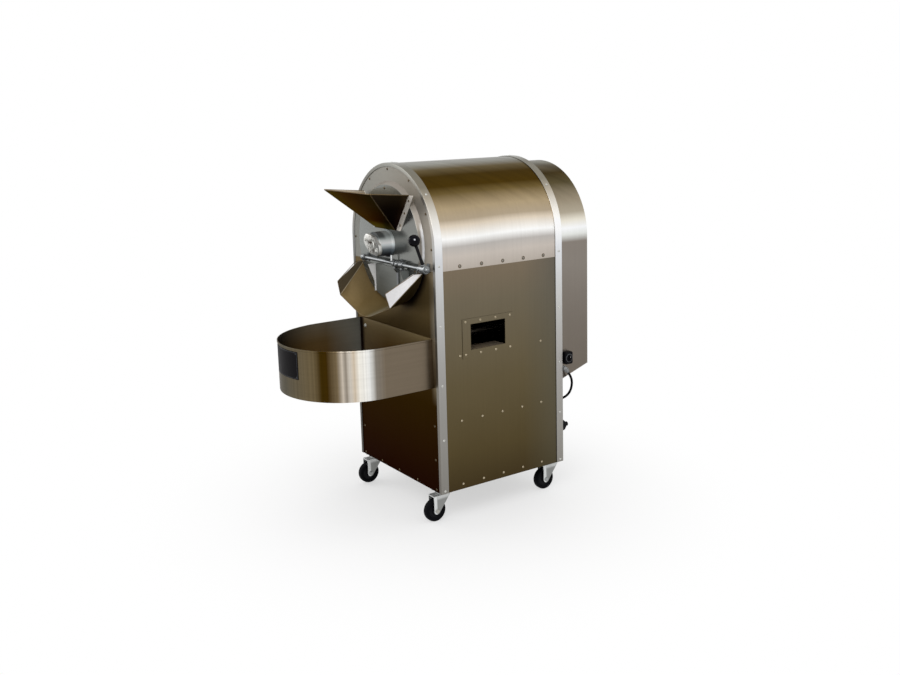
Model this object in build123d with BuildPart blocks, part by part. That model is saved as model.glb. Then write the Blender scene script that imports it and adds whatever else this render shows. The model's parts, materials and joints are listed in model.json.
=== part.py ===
from build123d import *
import os
from math import cos, radians, sin, sqrt, tan

# Drum roaster on four swivel casters, in millimetres. The floor is Z = 0, the drum axis lies in the
# plane X = 0, and the hopper, discharge door and tray face -Y.

# Cabinet
CAB_WIDTH = 700.0
CAB_DEPTH = 685.0
CASTER_HEIGHT = 135.0
AXIS_RISE = 1059.0
SHEET = 2.0
TRIM_T = 3.0
TRIM_SIDE_LEG = 39.0
FRONT_LEG = 17.0
REAR_LEG = 11.0
COVER_DROP = 93.0
LAP_GAP = 0.3
ANGLE_LEG = 40.0
ANGLE_T = 4.0
POST_LEG = 30.0

# Drum and its end plate
DRUM_R = 255.0
DRUM_WALL = 4.0
DRUM_FRONT_GAP = 5.0
DRUM_REAR_GAP = 22.0
DISC_LAP = 16.0
DISC_FACE_R = 255.0
DISC_T = 18.0
MOUTH_LAP = 3.0
SHAFT_R = 17.5
SHAFT_HOLE_GAP = 8.0
RUN_GAP = 0.05
WELD_GAP = 0.2
FLIGHT_HEIGHT = 46.0
FLIGHT_T = 4.0
FLIGHT_COUNT = 4
SPIDER_SETBACK = 42.0
SPIDER_ARM = 30.0
SPIDER_T = 8.0
SPIDER_HUB_R = 32.0

# Front bearing
HOUSING_R = 55.0
HOUSING_LENGTH = 68.0
HOUSING_FOOT_R = 61.0
HOUSING_FOOT_T = 6.0
BEARING_R = 36.0
BEARING_WIDTH = 20.0
BEARING_SEAT = 32.0
BEARING_LEDGE = 4.0
CAP_R = 40.0
CAP_T = 15.0
CAP_LOBE_R = 30.0
CAP_LOBE_REACH = 40.0
CAP_BOLT_REACH = 52.0
CAP_TILT = -23.0
CAP_BOSS_R = 25.0
CAP_BOSS_T = 4.0

# Hopper above the bearing
HOPPER_RISE = 63.0
HOPPER_HEIGHT = 174.0
HOPPER_REAR_DROP = 18.0
HOPPER_LEDGE = 9.0
HOPPER_REACH = 195.0
HOPPER_LOW_HALF = 80.0
HOPPER_TOP_HALF = 203.0
HOPPER_FLANGE = 34.0
FEED_MARGIN = 8.0
FEED_HEIGHT = 92.0

# Discharge door, its rod and lever
ROD_R = 8.0
ROD_DROP = 79.0
ROD_STANDOFF = 19.0
ROD_LEFT = -196.0
BRACKET_LEFT = -178.0
BRACKET_MID = 115.0
BRACKET_WIDTH = 18.0
BRACKET_R = 15.0
DOOR_LEFT = -112.0
DOOR_RIGHT = 168.0
DOOR_TOP_GAP = 22.0
DOOR_T = 3.0
DOOR_SEAT_GAP = 0.5
DOOR_LAP = 12.0
DOOR_FLANGE = 8.0
DOOR_CHEEK = 40.0
DOOR_CHEEK_HEIGHT = 80.0
STRAP_WIDTH = 14.0
STRAP_T = 6.0
STRAP_SPACING = 56.0
STOP_PIN_X = 60.0
STOP_PIN_R = 4.5
STOP_PIN_HEIGHT = 26.0
LEVER_EDGE = 28.0
LEVER_BOSS_R = 18.0
LEVER_BOSS_WIDTH = 28.0
LEVER_R = 7.0
LEVER_LENGTH = 133.0
LEVER_LEAN = 20.0
KNOB_R = 25.0
KNOB_SOCKET = 16.0

# Discharge chute under the door
CHUTE_REACH = 145.0
CHUTE_BACK_ANGLE = 23.0
CHUTE_FOLD_ANGLE = 55.0
CHUTE_FRONT_HALF = 219.0
CHUTE_FRONT_DROP = 245.0
CHUTE_BEND_HALF = 82.0
CHUTE_BEND_DROP = 294.0
CHUTE_LOW_DROP = 311.0
LIP_LEAN = 16.0
LIP_INSET = 8.0
LIP_HEIGHT = 65.0
LIP_BACK = 42.0
LIP_BACK_DROP = 106.0

# Cooling tray
TRAY_SIDE_GAP = 27.0
TRAY_CENTRE = 228.0
TRAY_RIM_RISE = 679.0
TRAY_HEIGHT = 215.0
TRAY_HEM = 2.0
TRAY_HEM_HEIGHT = 8.0
TRAY_LIP = 14.0
PLATE_FROM = 251.0
PLATE_TO = 288.0
PLATE_TOP_GAP = 13.0
PLATE_HEIGHT = 118.0
PLATE_T = 1.0

# Side window and burner
WINDOW_BACK = 172.0
WINDOW_LENGTH = 186.0
WINDOW_RISE = 612.0
WINDOW_HEIGHT = 114.0
FRAME_SIDE = 42.0
FRAME_LOW = 34.0
FRAME_TOP = 24.0
BURNER_RISE = 640.0
BURNER_R = 17.0
BURNER_SPACING = 150.0
BURNER_FRONT_GAP = 70.0
PIPE_R = 11.0
PIPE_HOLE_GAP = 1.0
MANIFOLD_GAP = 60.0
GAS_INSET = 54.0
GAS_RISE = 153.0
UNION_R = 27.0
UNION_LENGTH = 52.0
NIPPLE_R = 10.5
NIPPLE_LENGTH = 18.0
NIPPLE_STEP = 1.0

# Rear drive housing and drive
HOUSING_INSET = 13.0
DRIVE_AXIS_DROP = 17.0
DRIVE_DEPTH = 162.0
DRIVE_LOW_FRONT = 388.0
DRIVE_LOW_BACK = 442.0
BLOCK_HALF = 55.0
BLOCK_T = 14.0
BLOCK_BOSS_R = 40.0
BLOCK_LENGTH = 36.0
CHAIN_PITCH = 15.875
DRUM_TEETH = 30
MOTOR_TEETH = 15
TOOTH_TIP = 4.0
ROLLER_R = 5.2
SPROCKET_T = 9.0
SPROCKET_REAR_GAP = 22.0
CHAIN_GAP = 0.6
CHAIN_THICK = 10.0
CHAIN_WIDTH = 14.0
MOTOR_DROP = 330.0
MOTOR_SHAFT_R = 12.0
GEARBOX_HALF = 60.0
GEARBOX_DEPTH = 100.0
MOTOR_R = 48.0
MOTOR_LENGTH = 190.0

# Switch, lead and its glands
SWITCH_RISE = 490.0
SWITCH_BACK = 30.0
SWITCH_WIDTH = 44.0
SWITCH_HEIGHT = 58.0
SWITCH_DEPTH = 24.0
SWITCH_KNOB_R = 15.0
SWITCH_KNOB_T = 9.0
LEAD_R = 5.5
GLAND_R = 11.0
LEAD_HOLE_INSET = 40.0
LEAD_HOLE_RISE = 281.0

# Casters
WHEEL_R = 50.0
WHEEL_WIDTH = 32.0
WHEEL_HUB = 36.0
CASTER_SIDE = 60.0
CASTER_FRONT = 40.0
CASTER_REAR = 34.0
CASTER_TRAIL = 40.0
PLATE_X = 84.0
PLATE_Y = 64.0
CASTER_PLATE_T = 4.0
RACE_R = 27.0
RACE_HEIGHT = 13.0
KING_R = 8.0
CROWN_T = 4.0
CHEEK_T = 3.0
CHEEK_GAP = 2.0
CHEEK_END_R = 15.0
AXLE_R = 5.0

# Fasteners
SCREW_R = 5.0
SCREW_H = 2.5
BOLT_R = 8.0
BOLT_H = 6.0
ROW_FRONT = 117.0
ROW_REAR = 128.0
ROW_COUNT = 5
ROW_LOW = 23.0
ROW_MIDDLE = 308.0
ROW_HIGH = 594.0
COVER_ROW_FRONT = 126.0
COVER_ROW_REAR = 107.0
COVER_ROW_RISE = 14.0
TRIM_RISES = (12.0, 240.0, 479.0, 735.0, 990.0)
PANEL_RISES = (145.0, 297.0)
PANEL_ROW = 12.0
PANEL_EDGE = 41.0
PLATE_SCREW_INSET = 28.0
HOUSING_SCREW_RISE = 60.0
TRAY_BOLT_INSET = 35.0

# Places worked out from the sizes above
HALF = CAB_WIDTH / 2
SKIN = HALF - TRIM_T - LAP_GAP
SKIN_IN = SKIN - SHEET
BASE_Z = CASTER_HEIGHT
AXIS_Z = BASE_Z + AXIS_RISE
COVER_Z = AXIS_Z - COVER_DROP
TRAY_R = HALF - FRONT_LEG - TRAY_SIDE_GAP
TRAY_REACH = TRAY_CENTRE + TRAY_R + TRAY_HEM
FRONT = TRAY_REACH - (TRAY_REACH + CAB_DEPTH + DRIVE_DEPTH) / 2
REAR = FRONT + CAB_DEPTH
MIDDLE = (FRONT + REAR) / 2
FRONT_FACE = FRONT + TRIM_T
FRONT_IN = FRONT_FACE + SHEET
REAR_FACE = REAR - TRIM_T
REAR_IN = REAR_FACE - SHEET
DISC_R = DRUM_R + DISC_LAP
DISC_FACE = FRONT_FACE - DISC_T
MOUTH_R = DRUM_R + MOUTH_LAP
ROD_Z = AXIS_Z - ROD_DROP
ROD_Y = DISC_FACE - ROD_STANDOFF
LEVER_X = HALF - LEVER_EDGE
BRACKET_RIGHT = LEVER_X - (LEVER_BOSS_WIDTH + BRACKET_WIDTH) / 2 - 4 * LAP_GAP
DOOR_FRONT = DISC_FACE - DOOR_SEAT_GAP - DOOR_T
DRIVE_R = HALF - HOUSING_INSET
GAS_X = HALF - GAS_INSET
DRIVE_AXIS_Z = AXIS_Z - DRIVE_AXIS_DROP
DRIVE_BACK = REAR + DRIVE_DEPTH
TRAY_Y = FRONT - TRAY_CENTRE
TRAY_RIM = BASE_Z + TRAY_RIM_RISE
TRAY_LOW = TRAY_RIM - TRAY_HEIGHT
MOTOR_Z = AXIS_Z - MOTOR_DROP
SPROCKET_Y = DRIVE_BACK - SHEET - SPROCKET_REAR_GAP - SPROCKET_T


def facing_front(y):
    """Plane at y whose local axes are X and Z and whose normal is -Y."""
    return Plane(origin=(0, y, 0), x_dir=(1, 0, 0), z_dir=(0, -1, 0))


def facing_right(x):
    """Plane at x whose local axes are Y and Z and whose normal is +X."""
    return Plane(origin=(x, 0, 0), x_dir=(0, 1, 0), z_dir=(1, 0, 0))


def arch(half, low, centre=AXIS_Z):
    """Straight sides from low up to centre, with a half-round top."""
    with BuildSketch() as outline:
        with BuildLine():
            Polyline((-half, centre), (-half, low), (half, low), (half, centre))
            ThreePointArc((half, centre), (0, centre + half), (-half, centre))
        make_face()
    return outline.sketch


def d_shape(radius, back):
    """Half-round nose about the tray centre, with straight sides back to y = back."""
    with BuildSketch() as outline:
        with BuildLine():
            Polyline((radius, TRAY_Y), (radius, back), (-radius, back), (-radius, TRAY_Y))
            ThreePointArc((-radius, TRAY_Y), (0, TRAY_Y - radius), (radius, TRAY_Y))
        make_face()
    return outline.sketch


def loop_face(top_r, low_r):
    """Outline of a chain run round the drum sprocket and the motor sprocket."""
    with BuildSketch() as outline:
        with Locations((0, AXIS_Z)):
            Circle(top_r)
        with Locations((0, MOTOR_Z)):
            Circle(low_r)
        make_hull()
    return outline.sketch


def cap_spots(reach):
    """Two points on the bearing cap's tilted long axis, each that far from the drum's axis."""
    x = reach * cos(radians(CAP_TILT))
    rise = reach * sin(radians(CAP_TILT))
    return ((-x, AXIS_Z - rise), (x, AXIS_Z + rise))


def cap_outline():
    """Outline of the two-bolt bearing cap: round in the middle, with a lobe at each end of a tilted axis."""
    with BuildSketch() as outline:
        with Locations((0, AXIS_Z)):
            Circle(CAP_R)
        with Locations(*cap_spots(CAP_LOBE_REACH)):
            Circle(CAP_LOBE_R)
        make_hull()
    return outline.sketch


def pitch_radius(teeth):
    """Pitch radius of a chain sprocket."""
    return CHAIN_PITCH / (2 * sin(radians(180 / teeth)))


def save(part, name):
    """Label a finished piece and write it."""
    part.label = name
    export_step(part, f"parts/{name}.step")


os.makedirs("parts", exist_ok=True)
inner_depth = REAR_IN - FRONT_IN

# Base frame: a ring of steel angle with its flat leg down
with BuildPart() as base_frame:
    with BuildSketch(Plane.XY.offset(BASE_Z)):
        with Locations((0, MIDDLE)):
            Rectangle(2 * SKIN_IN, inner_depth)
            Rectangle(2 * (SKIN_IN - ANGLE_LEG), inner_depth - 2 * ANGLE_LEG, mode=Mode.SUBTRACT)
    extrude(amount=ANGLE_T)
    with BuildSketch(Plane.XY.offset(BASE_Z)):
        with Locations((0, MIDDLE)):
            Rectangle(2 * SKIN_IN, inner_depth)
            Rectangle(2 * (SKIN_IN - ANGLE_T), inner_depth - 2 * ANGLE_T, mode=Mode.SUBTRACT)
    extrude(amount=ANGLE_LEG)
save(base_frame.part, "base_frame")

with BuildPart() as base_plate:
    with BuildSketch(Plane.XY.offset(BASE_Z + ANGLE_T)):
        with Locations((0, MIDDLE)):
            Rectangle(2 * (SKIN_IN - ANGLE_T - LAP_GAP), inner_depth - 2 * (ANGLE_T + LAP_GAP))
    extrude(amount=SHEET)
save(base_plate.part, "base_plate")

# Four angle posts stand on the base frame inside the cabinet corners
post_height = AXIS_Z - BASE_Z - ANGLE_LEG
with BuildPart() as corner_posts:
    with BuildSketch(Plane.XY.offset(BASE_Z + ANGLE_LEG)):
        for side in (-1, 1):
            for edge, inward in ((FRONT_IN, 1), (REAR_IN, -1)):
                with Locations((side * (SKIN_IN - POST_LEG / 2), edge + inward * ANGLE_T / 2)):
                    Rectangle(POST_LEG, ANGLE_T)
                with Locations((side * (SKIN_IN - ANGLE_T / 2), edge + inward * POST_LEG / 2)):
                    Rectangle(ANGLE_T, POST_LEG)
    extrude(amount=post_height)
save(corner_posts.part, "corner_posts")

# Front wall: a grey arch plate above, a panel below, both cut round for the drum mouth
with BuildPart() as front_plate:
    with BuildSketch(facing_front(FRONT_FACE)):
        add(arch(SKIN_IN - LAP_GAP, COVER_Z))
        with Locations((0, AXIS_Z)):
            Circle(MOUTH_R, mode=Mode.SUBTRACT)
    extrude(amount=-SHEET)
save(front_plate.part, "front_plate")

panel_rise = COVER_Z - BASE_Z
with BuildPart() as front_panel:
    with BuildSketch(facing_front(FRONT_FACE)):
        with Locations((0, BASE_Z + panel_rise / 2)):
            Rectangle(2 * (SKIN_IN - LAP_GAP), panel_rise)
        with Locations((0, AXIS_Z)):
            Circle(MOUTH_R, mode=Mode.SUBTRACT)
    extrude(amount=-SHEET)
save(front_panel.part, "front_panel")

# Rear wall, with holes for the shaft, the gas pipe and the lead
lead_hole_x = DRIVE_R - LEAD_HOLE_INSET
lead_hole_z = BASE_Z + LEAD_HOLE_RISE
with BuildPart() as rear_plate:
    with BuildSketch(facing_front(REAR_FACE)):
        add(arch(SKIN_IN - LAP_GAP, BASE_Z))
        with Locations((0, AXIS_Z)):
            Circle(SHAFT_R + SHAFT_HOLE_GAP, mode=Mode.SUBTRACT)
        with Locations((GAS_X, BASE_Z + GAS_RISE)):
            Circle(PIPE_R + PIPE_HOLE_GAP, mode=Mode.SUBTRACT)
    extrude(amount=SHEET)
save(rear_plate.part, "rear_plate")

# Side panels; the right one is in sheets above, below and beside the window
window_y = FRONT + WINDOW_BACK + WINDOW_LENGTH / 2
window_z = BASE_Z + WINDOW_RISE + WINDOW_HEIGHT / 2
skin_depth = REAR_FACE - FRONT_FACE
with BuildPart() as side_panel_right:
    with BuildSketch(facing_right(SKIN)):
        with Locations((MIDDLE, BASE_Z + panel_rise / 2)):
            Rectangle(skin_depth, panel_rise)
        with Locations((window_y, window_z)):
            Rectangle(WINDOW_LENGTH, WINDOW_HEIGHT, mode=Mode.SUBTRACT)
    extrude(amount=-SHEET)
    for edge in (-WINDOW_HEIGHT / 2, WINDOW_HEIGHT / 2):
        split(bisect_by=Plane.XY.offset(window_z + edge), keep=Keep.BOTH)
save(side_panel_right.part, "side_panel_right")

with BuildPart() as side_panel_left:
    with BuildSketch(facing_right(-SKIN)):
        with Locations((MIDDLE, BASE_Z + panel_rise / 2)):
            Rectangle(skin_depth, panel_rise)
    extrude(amount=SHEET)
save(side_panel_left.part, "side_panel_left")

with BuildPart() as top_cover:
    with BuildSketch(facing_front(FRONT_FACE)):
        add(arch(SKIN, COVER_Z))
        add(arch(SKIN_IN, COVER_Z), mode=Mode.SUBTRACT)
    extrude(amount=-skin_depth)
save(top_cover.part, "top_cover")

# Trim bands: a face strip and a side strip over each edge, in two straight legs and a rolled arch
with BuildPart() as front_trim_band:
    with BuildSketch(facing_front(FRONT)):
        add(arch(HALF, BASE_Z))
        add(arch(HALF - FRONT_LEG, BASE_Z), mode=Mode.SUBTRACT)
    extrude(amount=-TRIM_T)
    with BuildSketch(facing_front(FRONT)):
        add(arch(HALF, BASE_Z))
        add(arch(HALF - TRIM_T, BASE_Z), mode=Mode.SUBTRACT)
    extrude(amount=-TRIM_SIDE_LEG)
    split(bisect_by=Plane.XY.offset(AXIS_Z), keep=Keep.BOTH)
    split(bisect_by=Plane.XZ.offset(-FRONT_FACE), keep=Keep.BOTH)
save(front_trim_band.part, "front_trim_band")

with BuildPart() as rear_trim_band:
    with BuildSketch(facing_front(REAR)):
        add(arch(HALF, BASE_Z))
        add(arch(HALF - REAR_LEG, BASE_Z), mode=Mode.SUBTRACT)
    extrude(amount=TRIM_T)
    with BuildSketch(facing_front(REAR)):
        add(arch(HALF, BASE_Z))
        add(arch(HALF - TRIM_T, BASE_Z), mode=Mode.SUBTRACT)
    extrude(amount=TRIM_SIDE_LEG)
    split(bisect_by=Plane.XY.offset(AXIS_Z), keep=Keep.BOTH)
    split(bisect_by=Plane.XZ.offset(-REAR_FACE), keep=Keep.BOTH)
save(rear_trim_band.part, "rear_trim_band")

# Window surround, screwed on over the opening
frame_length = WINDOW_LENGTH + 2 * FRAME_SIDE
frame_height = WINDOW_HEIGHT + FRAME_LOW + FRAME_TOP
frame_z = window_z + (FRAME_TOP - FRAME_LOW) / 2
with BuildPart() as window_frame:
    with BuildSketch(facing_right(SKIN)):
        with Locations((window_y, frame_z)):
            Rectangle(frame_length, frame_height)
        with Locations((window_y, window_z)):
            Rectangle(WINDOW_LENGTH, WINDOW_HEIGHT, mode=Mode.SUBTRACT)
    extrude(amount=SHEET)
save(window_frame.part, "window_frame")

# Burner tubes under the drum, fed from a manifold whose pipe drops to the inlet behind
burner_z = BASE_Z + BURNER_RISE
gas_z = BASE_Z + GAS_RISE
manifold_y = REAR_IN - MANIFOLD_GAP
burner_front = FRONT_IN + BURNER_FRONT_GAP
burner_length = manifold_y - PIPE_R - LAP_GAP - burner_front
with BuildPart() as burner_tubes:
    with BuildSketch(facing_front(burner_front)):
        with Locations(*[(k * BURNER_SPACING, burner_z) for k in (-1, 0, 1)]):
            Circle(BURNER_R)
    extrude(amount=-burner_length)
    with BuildSketch(facing_front(burner_front + SHEET)):
        with Locations(*[(k * BURNER_SPACING, burner_z) for k in (-1, 0, 1)]):
            Circle(BURNER_R - SHEET)
    extrude(amount=-burner_length, mode=Mode.SUBTRACT)
save(burner_tubes.part, "burner_tubes")

manifold_left = -BURNER_SPACING - 2 * BURNER_R
with BuildPart() as gas_manifold:
    with BuildSketch(facing_right(manifold_left)):
        with Locations((manifold_y, burner_z)):
            Circle(PIPE_R)
    extrude(amount=GAS_X - manifold_left)
    with BuildSketch(Plane.XY.offset(gas_z)):
        with Locations((GAS_X, manifold_y)):
            Circle(PIPE_R)
    extrude(amount=burner_z - gas_z)
    with Locations((GAS_X, manifold_y, burner_z), (GAS_X, manifold_y, gas_z)):
        Sphere(PIPE_R)
    with BuildSketch(facing_front(manifold_y)):
        with Locations((GAS_X, gas_z)):
            Circle(PIPE_R)
    extrude(amount=manifold_y - REAR_FACE)
    with BuildSketch(facing_front(REAR_FACE)):
        with Locations((GAS_X, gas_z)):
            Circle(NIPPLE_R - NIPPLE_STEP)
    extrude(amount=-UNION_LENGTH)
    with BuildSketch(facing_front(REAR_FACE + UNION_LENGTH)):
        with Locations((GAS_X, gas_z)):
            Circle(NIPPLE_R)
    extrude(amount=-NIPPLE_LENGTH)
save(gas_manifold.part, "gas_manifold")

with BuildPart() as gas_union:
    with BuildSketch(facing_front(REAR_FACE)):
        with Locations((GAS_X, gas_z)):
            Circle(UNION_R)
            Circle(NIPPLE_R - NIPPLE_STEP + WELD_GAP, mode=Mode.SUBTRACT)
    extrude(amount=-UNION_LENGTH)
    union_rim = gas_union.edges().filter_by(GeomType.CIRCLE).group_by(Axis.Y)[-1].sort_by(SortBy.RADIUS)[-1]
    fillet(union_rim, UNION_R / 5)
save(gas_union.part, "gas_union")

# Drum end plate: a fixed disc with a sloped rim, the shaft hole, the feed hole and the discharge hole
feed_low = AXIS_Z + HOPPER_RISE + FEED_MARGIN
hopper_slope = (HOPPER_TOP_HALF - HOPPER_LOW_HALF) / HOPPER_HEIGHT
feed_low_half = HOPPER_LOW_HALF - FEED_MARGIN
feed_top_half = feed_low_half + FEED_HEIGHT * hopper_slope
door_top = ROD_Z - DOOR_TOP_GAP
outlet_r = DRUM_R - DRUM_WALL - DOOR_LAP
with BuildPart() as drum_end_plate:
    for y, radius in ((FRONT_FACE, DISC_R), (DISC_FACE, DISC_FACE_R)):
        with BuildSketch(facing_front(y)):
            with Locations((0, AXIS_Z)):
                Circle(radius)
    loft(ruled=True)
    with BuildSketch(facing_front(FRONT_FACE)):
        with Locations((0, AXIS_Z)):
            Circle(BEARING_R)
        with BuildLine():
            Polyline(
                (-feed_low_half, feed_low),
                (feed_low_half, feed_low),
                (feed_top_half, feed_low + FEED_HEIGHT),
                (-feed_top_half, feed_low + FEED_HEIGHT),
                close=True,
            )
        make_face()
        with BuildSketch():
            with Locations((0, AXIS_Z)):
                Circle(outlet_r)
            with Locations(((DOOR_LEFT + DOOR_RIGHT) / 2, door_top - DOOR_LAP - outlet_r)):
                Rectangle(DOOR_RIGHT - DOOR_LEFT - 2 * DOOR_LAP, 2 * outlet_r, mode=Mode.INTERSECT)
    extrude(amount=DISC_T, mode=Mode.SUBTRACT)
save(drum_end_plate.part, "drum_end_plate")

# Front bearing housing, bearing and cap
with BuildPart() as bearing_housing:
    with BuildSketch(facing_front(DISC_FACE)):
        with Locations((0, AXIS_Z)):
            Circle(HOUSING_FOOT_R)
    extrude(amount=HOUSING_FOOT_T)
    with BuildSketch(facing_front(DISC_FACE)):
        with Locations((0, AXIS_Z)):
            Circle(HOUSING_R)
    extrude(amount=HOUSING_LENGTH)
    with BuildSketch(facing_front(DISC_FACE)):
        with Locations((0, AXIS_Z)):
            Circle(BEARING_R - BEARING_LEDGE)
    extrude(amount=HOUSING_LENGTH, mode=Mode.SUBTRACT)
    with BuildSketch(facing_front(DISC_FACE - HOUSING_LENGTH)):
        with Locations((0, AXIS_Z)):
            Circle(BEARING_R)
    extrude(amount=-BEARING_SEAT, mode=Mode.SUBTRACT)
save(bearing_housing.part, "bearing_housing")

bearing_y = DISC_FACE - HOUSING_LENGTH + BEARING_SEAT
with BuildPart() as front_bearing:
    with BuildSketch(facing_front(bearing_y)):
        with Locations((0, AXIS_Z)):
            Circle(BEARING_R - RUN_GAP)
            Circle(SHAFT_R + RUN_GAP, mode=Mode.SUBTRACT)
    extrude(amount=BEARING_WIDTH)
save(front_bearing.part, "front_bearing")

with BuildPart() as bearing_cap:
    with BuildSketch(facing_front(DISC_FACE - HOUSING_LENGTH)):
        add(cap_outline())
    extrude(amount=CAP_T)
    chamfer(bearing_cap.faces().sort_by(Axis.Y)[0].edges(), CAP_T / 6)
    with BuildSketch(facing_front(DISC_FACE - HOUSING_LENGTH - CAP_T)):
        with Locations((0, AXIS_Z)):
            Circle(CAP_BOSS_R)
    extrude(amount=CAP_BOSS_T, taper=20)
save(bearing_cap.part, "bearing_cap")

# Turning drum: shell, lifting flights, front spider, rear head, shaft and sprocket
drum_front = FRONT_IN + DRUM_FRONT_GAP
drum_rear = REAR_IN - DRUM_REAR_GAP
drum_inner = DRUM_R - DRUM_WALL
with BuildPart() as drum_shell:
    with BuildSketch(facing_front(drum_front)):
        with Locations((0, AXIS_Z)):
            Circle(DRUM_R)
            Circle(drum_inner, mode=Mode.SUBTRACT)
    extrude(amount=drum_front - drum_rear)
save(drum_shell.part, "drum_shell")

head_front = drum_rear - DRUM_WALL
with BuildPart() as drum_rear_head:
    with BuildSketch(facing_front(head_front)):
        with Locations((0, AXIS_Z)):
            Circle(drum_inner - WELD_GAP)
            Circle(SHAFT_R + WELD_GAP, mode=Mode.SUBTRACT)
    extrude(amount=-DRUM_WALL)
    with BuildSketch(facing_front(head_front)):
        with Locations((0, AXIS_Z)):
            Circle(SPIDER_HUB_R)
            Circle(SHAFT_R + WELD_GAP, mode=Mode.SUBTRACT)
    extrude(amount=SPIDER_ARM)
save(drum_rear_head.part, "drum_rear_head")

flight_front = drum_front + SPIDER_T
flight_rear = head_front - LAP_GAP
flight_middle = drum_inner - WELD_GAP - FLIGHT_T / 4 - FLIGHT_HEIGHT / 2
with BuildPart() as drum_flights:
    with BuildSketch(facing_front(flight_front)):
        with Locations((0, AXIS_Z)):
            with PolarLocations(flight_middle, FLIGHT_COUNT, start_angle=180 / FLIGHT_COUNT):
                Rectangle(FLIGHT_HEIGHT, FLIGHT_T)
    extrude(amount=flight_front - flight_rear)
save(drum_flights.part, "drum_flights")

spider_y = drum_front + SPIDER_SETBACK
arm_reach = sqrt((drum_inner - WELD_GAP) ** 2 - (SPIDER_ARM / 2) ** 2)
with BuildPart() as drum_front_spider:
    with BuildSketch(facing_front(spider_y)):
        with Locations((0, AXIS_Z)):
            Circle(SPIDER_HUB_R)
            with PolarLocations(arm_reach / 2, 3, start_angle=90):
                Rectangle(arm_reach, SPIDER_ARM)
            Circle(SHAFT_R + WELD_GAP, mode=Mode.SUBTRACT)
    extrude(amount=-SPIDER_T)
save(drum_front_spider.part, "drum_front_spider")

shaft_front = bearing_y - BEARING_WIDTH - SHAFT_R / 4
shaft_rear = SPROCKET_Y + SPROCKET_T + SHAFT_R / 2
with BuildPart() as drum_shaft:
    with BuildSketch(facing_front(shaft_front)):
        with Locations((0, AXIS_Z)):
            Circle(SHAFT_R)
    extrude(amount=shaft_front - shaft_rear)
    chamfer(drum_shaft.edges().filter_by(GeomType.CIRCLE), SHAFT_R / 10)
save(drum_shaft.part, "drum_shaft")

drum_pitch = pitch_radius(DRUM_TEETH)
motor_pitch = pitch_radius(MOTOR_TEETH)
with BuildPart() as drum_sprocket:
    with BuildSketch(facing_front(SPROCKET_Y)):
        with Locations((0, AXIS_Z)):
            Circle(drum_pitch + TOOTH_TIP)
            with PolarLocations(drum_pitch, DRUM_TEETH, start_angle=90):
                Circle(ROLLER_R, mode=Mode.SUBTRACT)
            Circle(SHAFT_R + WELD_GAP, mode=Mode.SUBTRACT)
    extrude(amount=-SPROCKET_T)
save(drum_sprocket.part, "drum_sprocket")

# Flange bearing for the shaft behind the rear wall
with BuildPart() as rear_bearing:
    with BuildSketch(facing_front(REAR_FACE)):
        with Locations((0, AXIS_Z)):
            RectangleRounded(2 * BLOCK_HALF, 2 * BLOCK_HALF, BLOCK_T)
    extrude(amount=-BLOCK_T)
    with BuildSketch(facing_front(REAR_FACE)):
        with Locations((0, AXIS_Z)):
            Circle(BLOCK_BOSS_R)
    extrude(amount=-BLOCK_LENGTH)
    with BuildSketch(facing_front(REAR_FACE)):
        with Locations((0, AXIS_Z)):
            Circle(SHAFT_R + RUN_GAP)
    extrude(amount=-BLOCK_LENGTH, mode=Mode.SUBTRACT)
save(rear_bearing.part, "rear_bearing")

# Hopper: one sloped front plate, two leaning sides and flanges on the end plate
hopper_low = AXIS_Z + HOPPER_RISE
hopper_top = hopper_low + HOPPER_HEIGHT
rear_rim = hopper_top - HOPPER_REAR_DROP
wall_x = SHEET * sqrt(1 + hopper_slope**2)
front_slope = (HOPPER_REACH - HOPPER_LEDGE) / HOPPER_HEIGHT
wall_y = SHEET * sqrt(1 + front_slope**2)
with BuildPart() as hopper:
    for z, half, depth in (
        (hopper_low, HOPPER_LOW_HALF, HOPPER_LEDGE),
        (hopper_top, HOPPER_TOP_HALF, HOPPER_REACH),
    ):
        with BuildSketch(Plane.XY.offset(z)):
            with Locations((0, DISC_FACE - depth / 2)):
                Rectangle(2 * half, depth)
    loft(ruled=True)
    for z, half, depth in (
        (hopper_low, HOPPER_LOW_HALF - wall_x, HOPPER_LEDGE - wall_y),
        (hopper_top, HOPPER_TOP_HALF - wall_x, HOPPER_REACH - wall_y),
    ):
        with BuildSketch(Plane.XY.offset(z)):
            with Locations((0, DISC_FACE - depth / 2)):
                Rectangle(2 * half, depth)
    loft(ruled=True, mode=Mode.SUBTRACT)
    with BuildSketch(Plane.XY.offset(hopper_low)):
        with Locations((0, DISC_FACE - HOPPER_LEDGE / 2)):
            Rectangle(2 * HOPPER_LOW_HALF, HOPPER_LEDGE)
    extrude(amount=SHEET)
    rim_half = HOPPER_LOW_HALF + (rear_rim - hopper_low) * hopper_slope
    with BuildSketch(facing_front(DISC_FACE)):
        with BuildLine():
            Polyline(
                (HOPPER_LOW_HALF - wall_x, hopper_low),
                (HOPPER_LOW_HALF + HOPPER_FLANGE, hopper_low),
                (rim_half + HOPPER_FLANGE, rear_rim),
                (rim_half - wall_x, rear_rim),
                close=True,
            )
        make_face()
        mirror(about=Plane.YZ)
    extrude(amount=SHEET)
    with BuildSketch(facing_right(-2 * HOPPER_TOP_HALF)):
        with BuildLine():
            Polyline(
                (DISC_FACE, rear_rim),
                (DISC_FACE - HOPPER_REACH, hopper_top),
                (DISC_FACE - HOPPER_REACH, hopper_top + HOPPER_REAR_DROP),
                (DISC_FACE, hopper_top + HOPPER_REAR_DROP),
                close=True,
            )
        make_face()
    extrude(amount=4 * HOPPER_TOP_HALF, mode=Mode.SUBTRACT)
save(hopper.part, "hopper")

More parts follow.
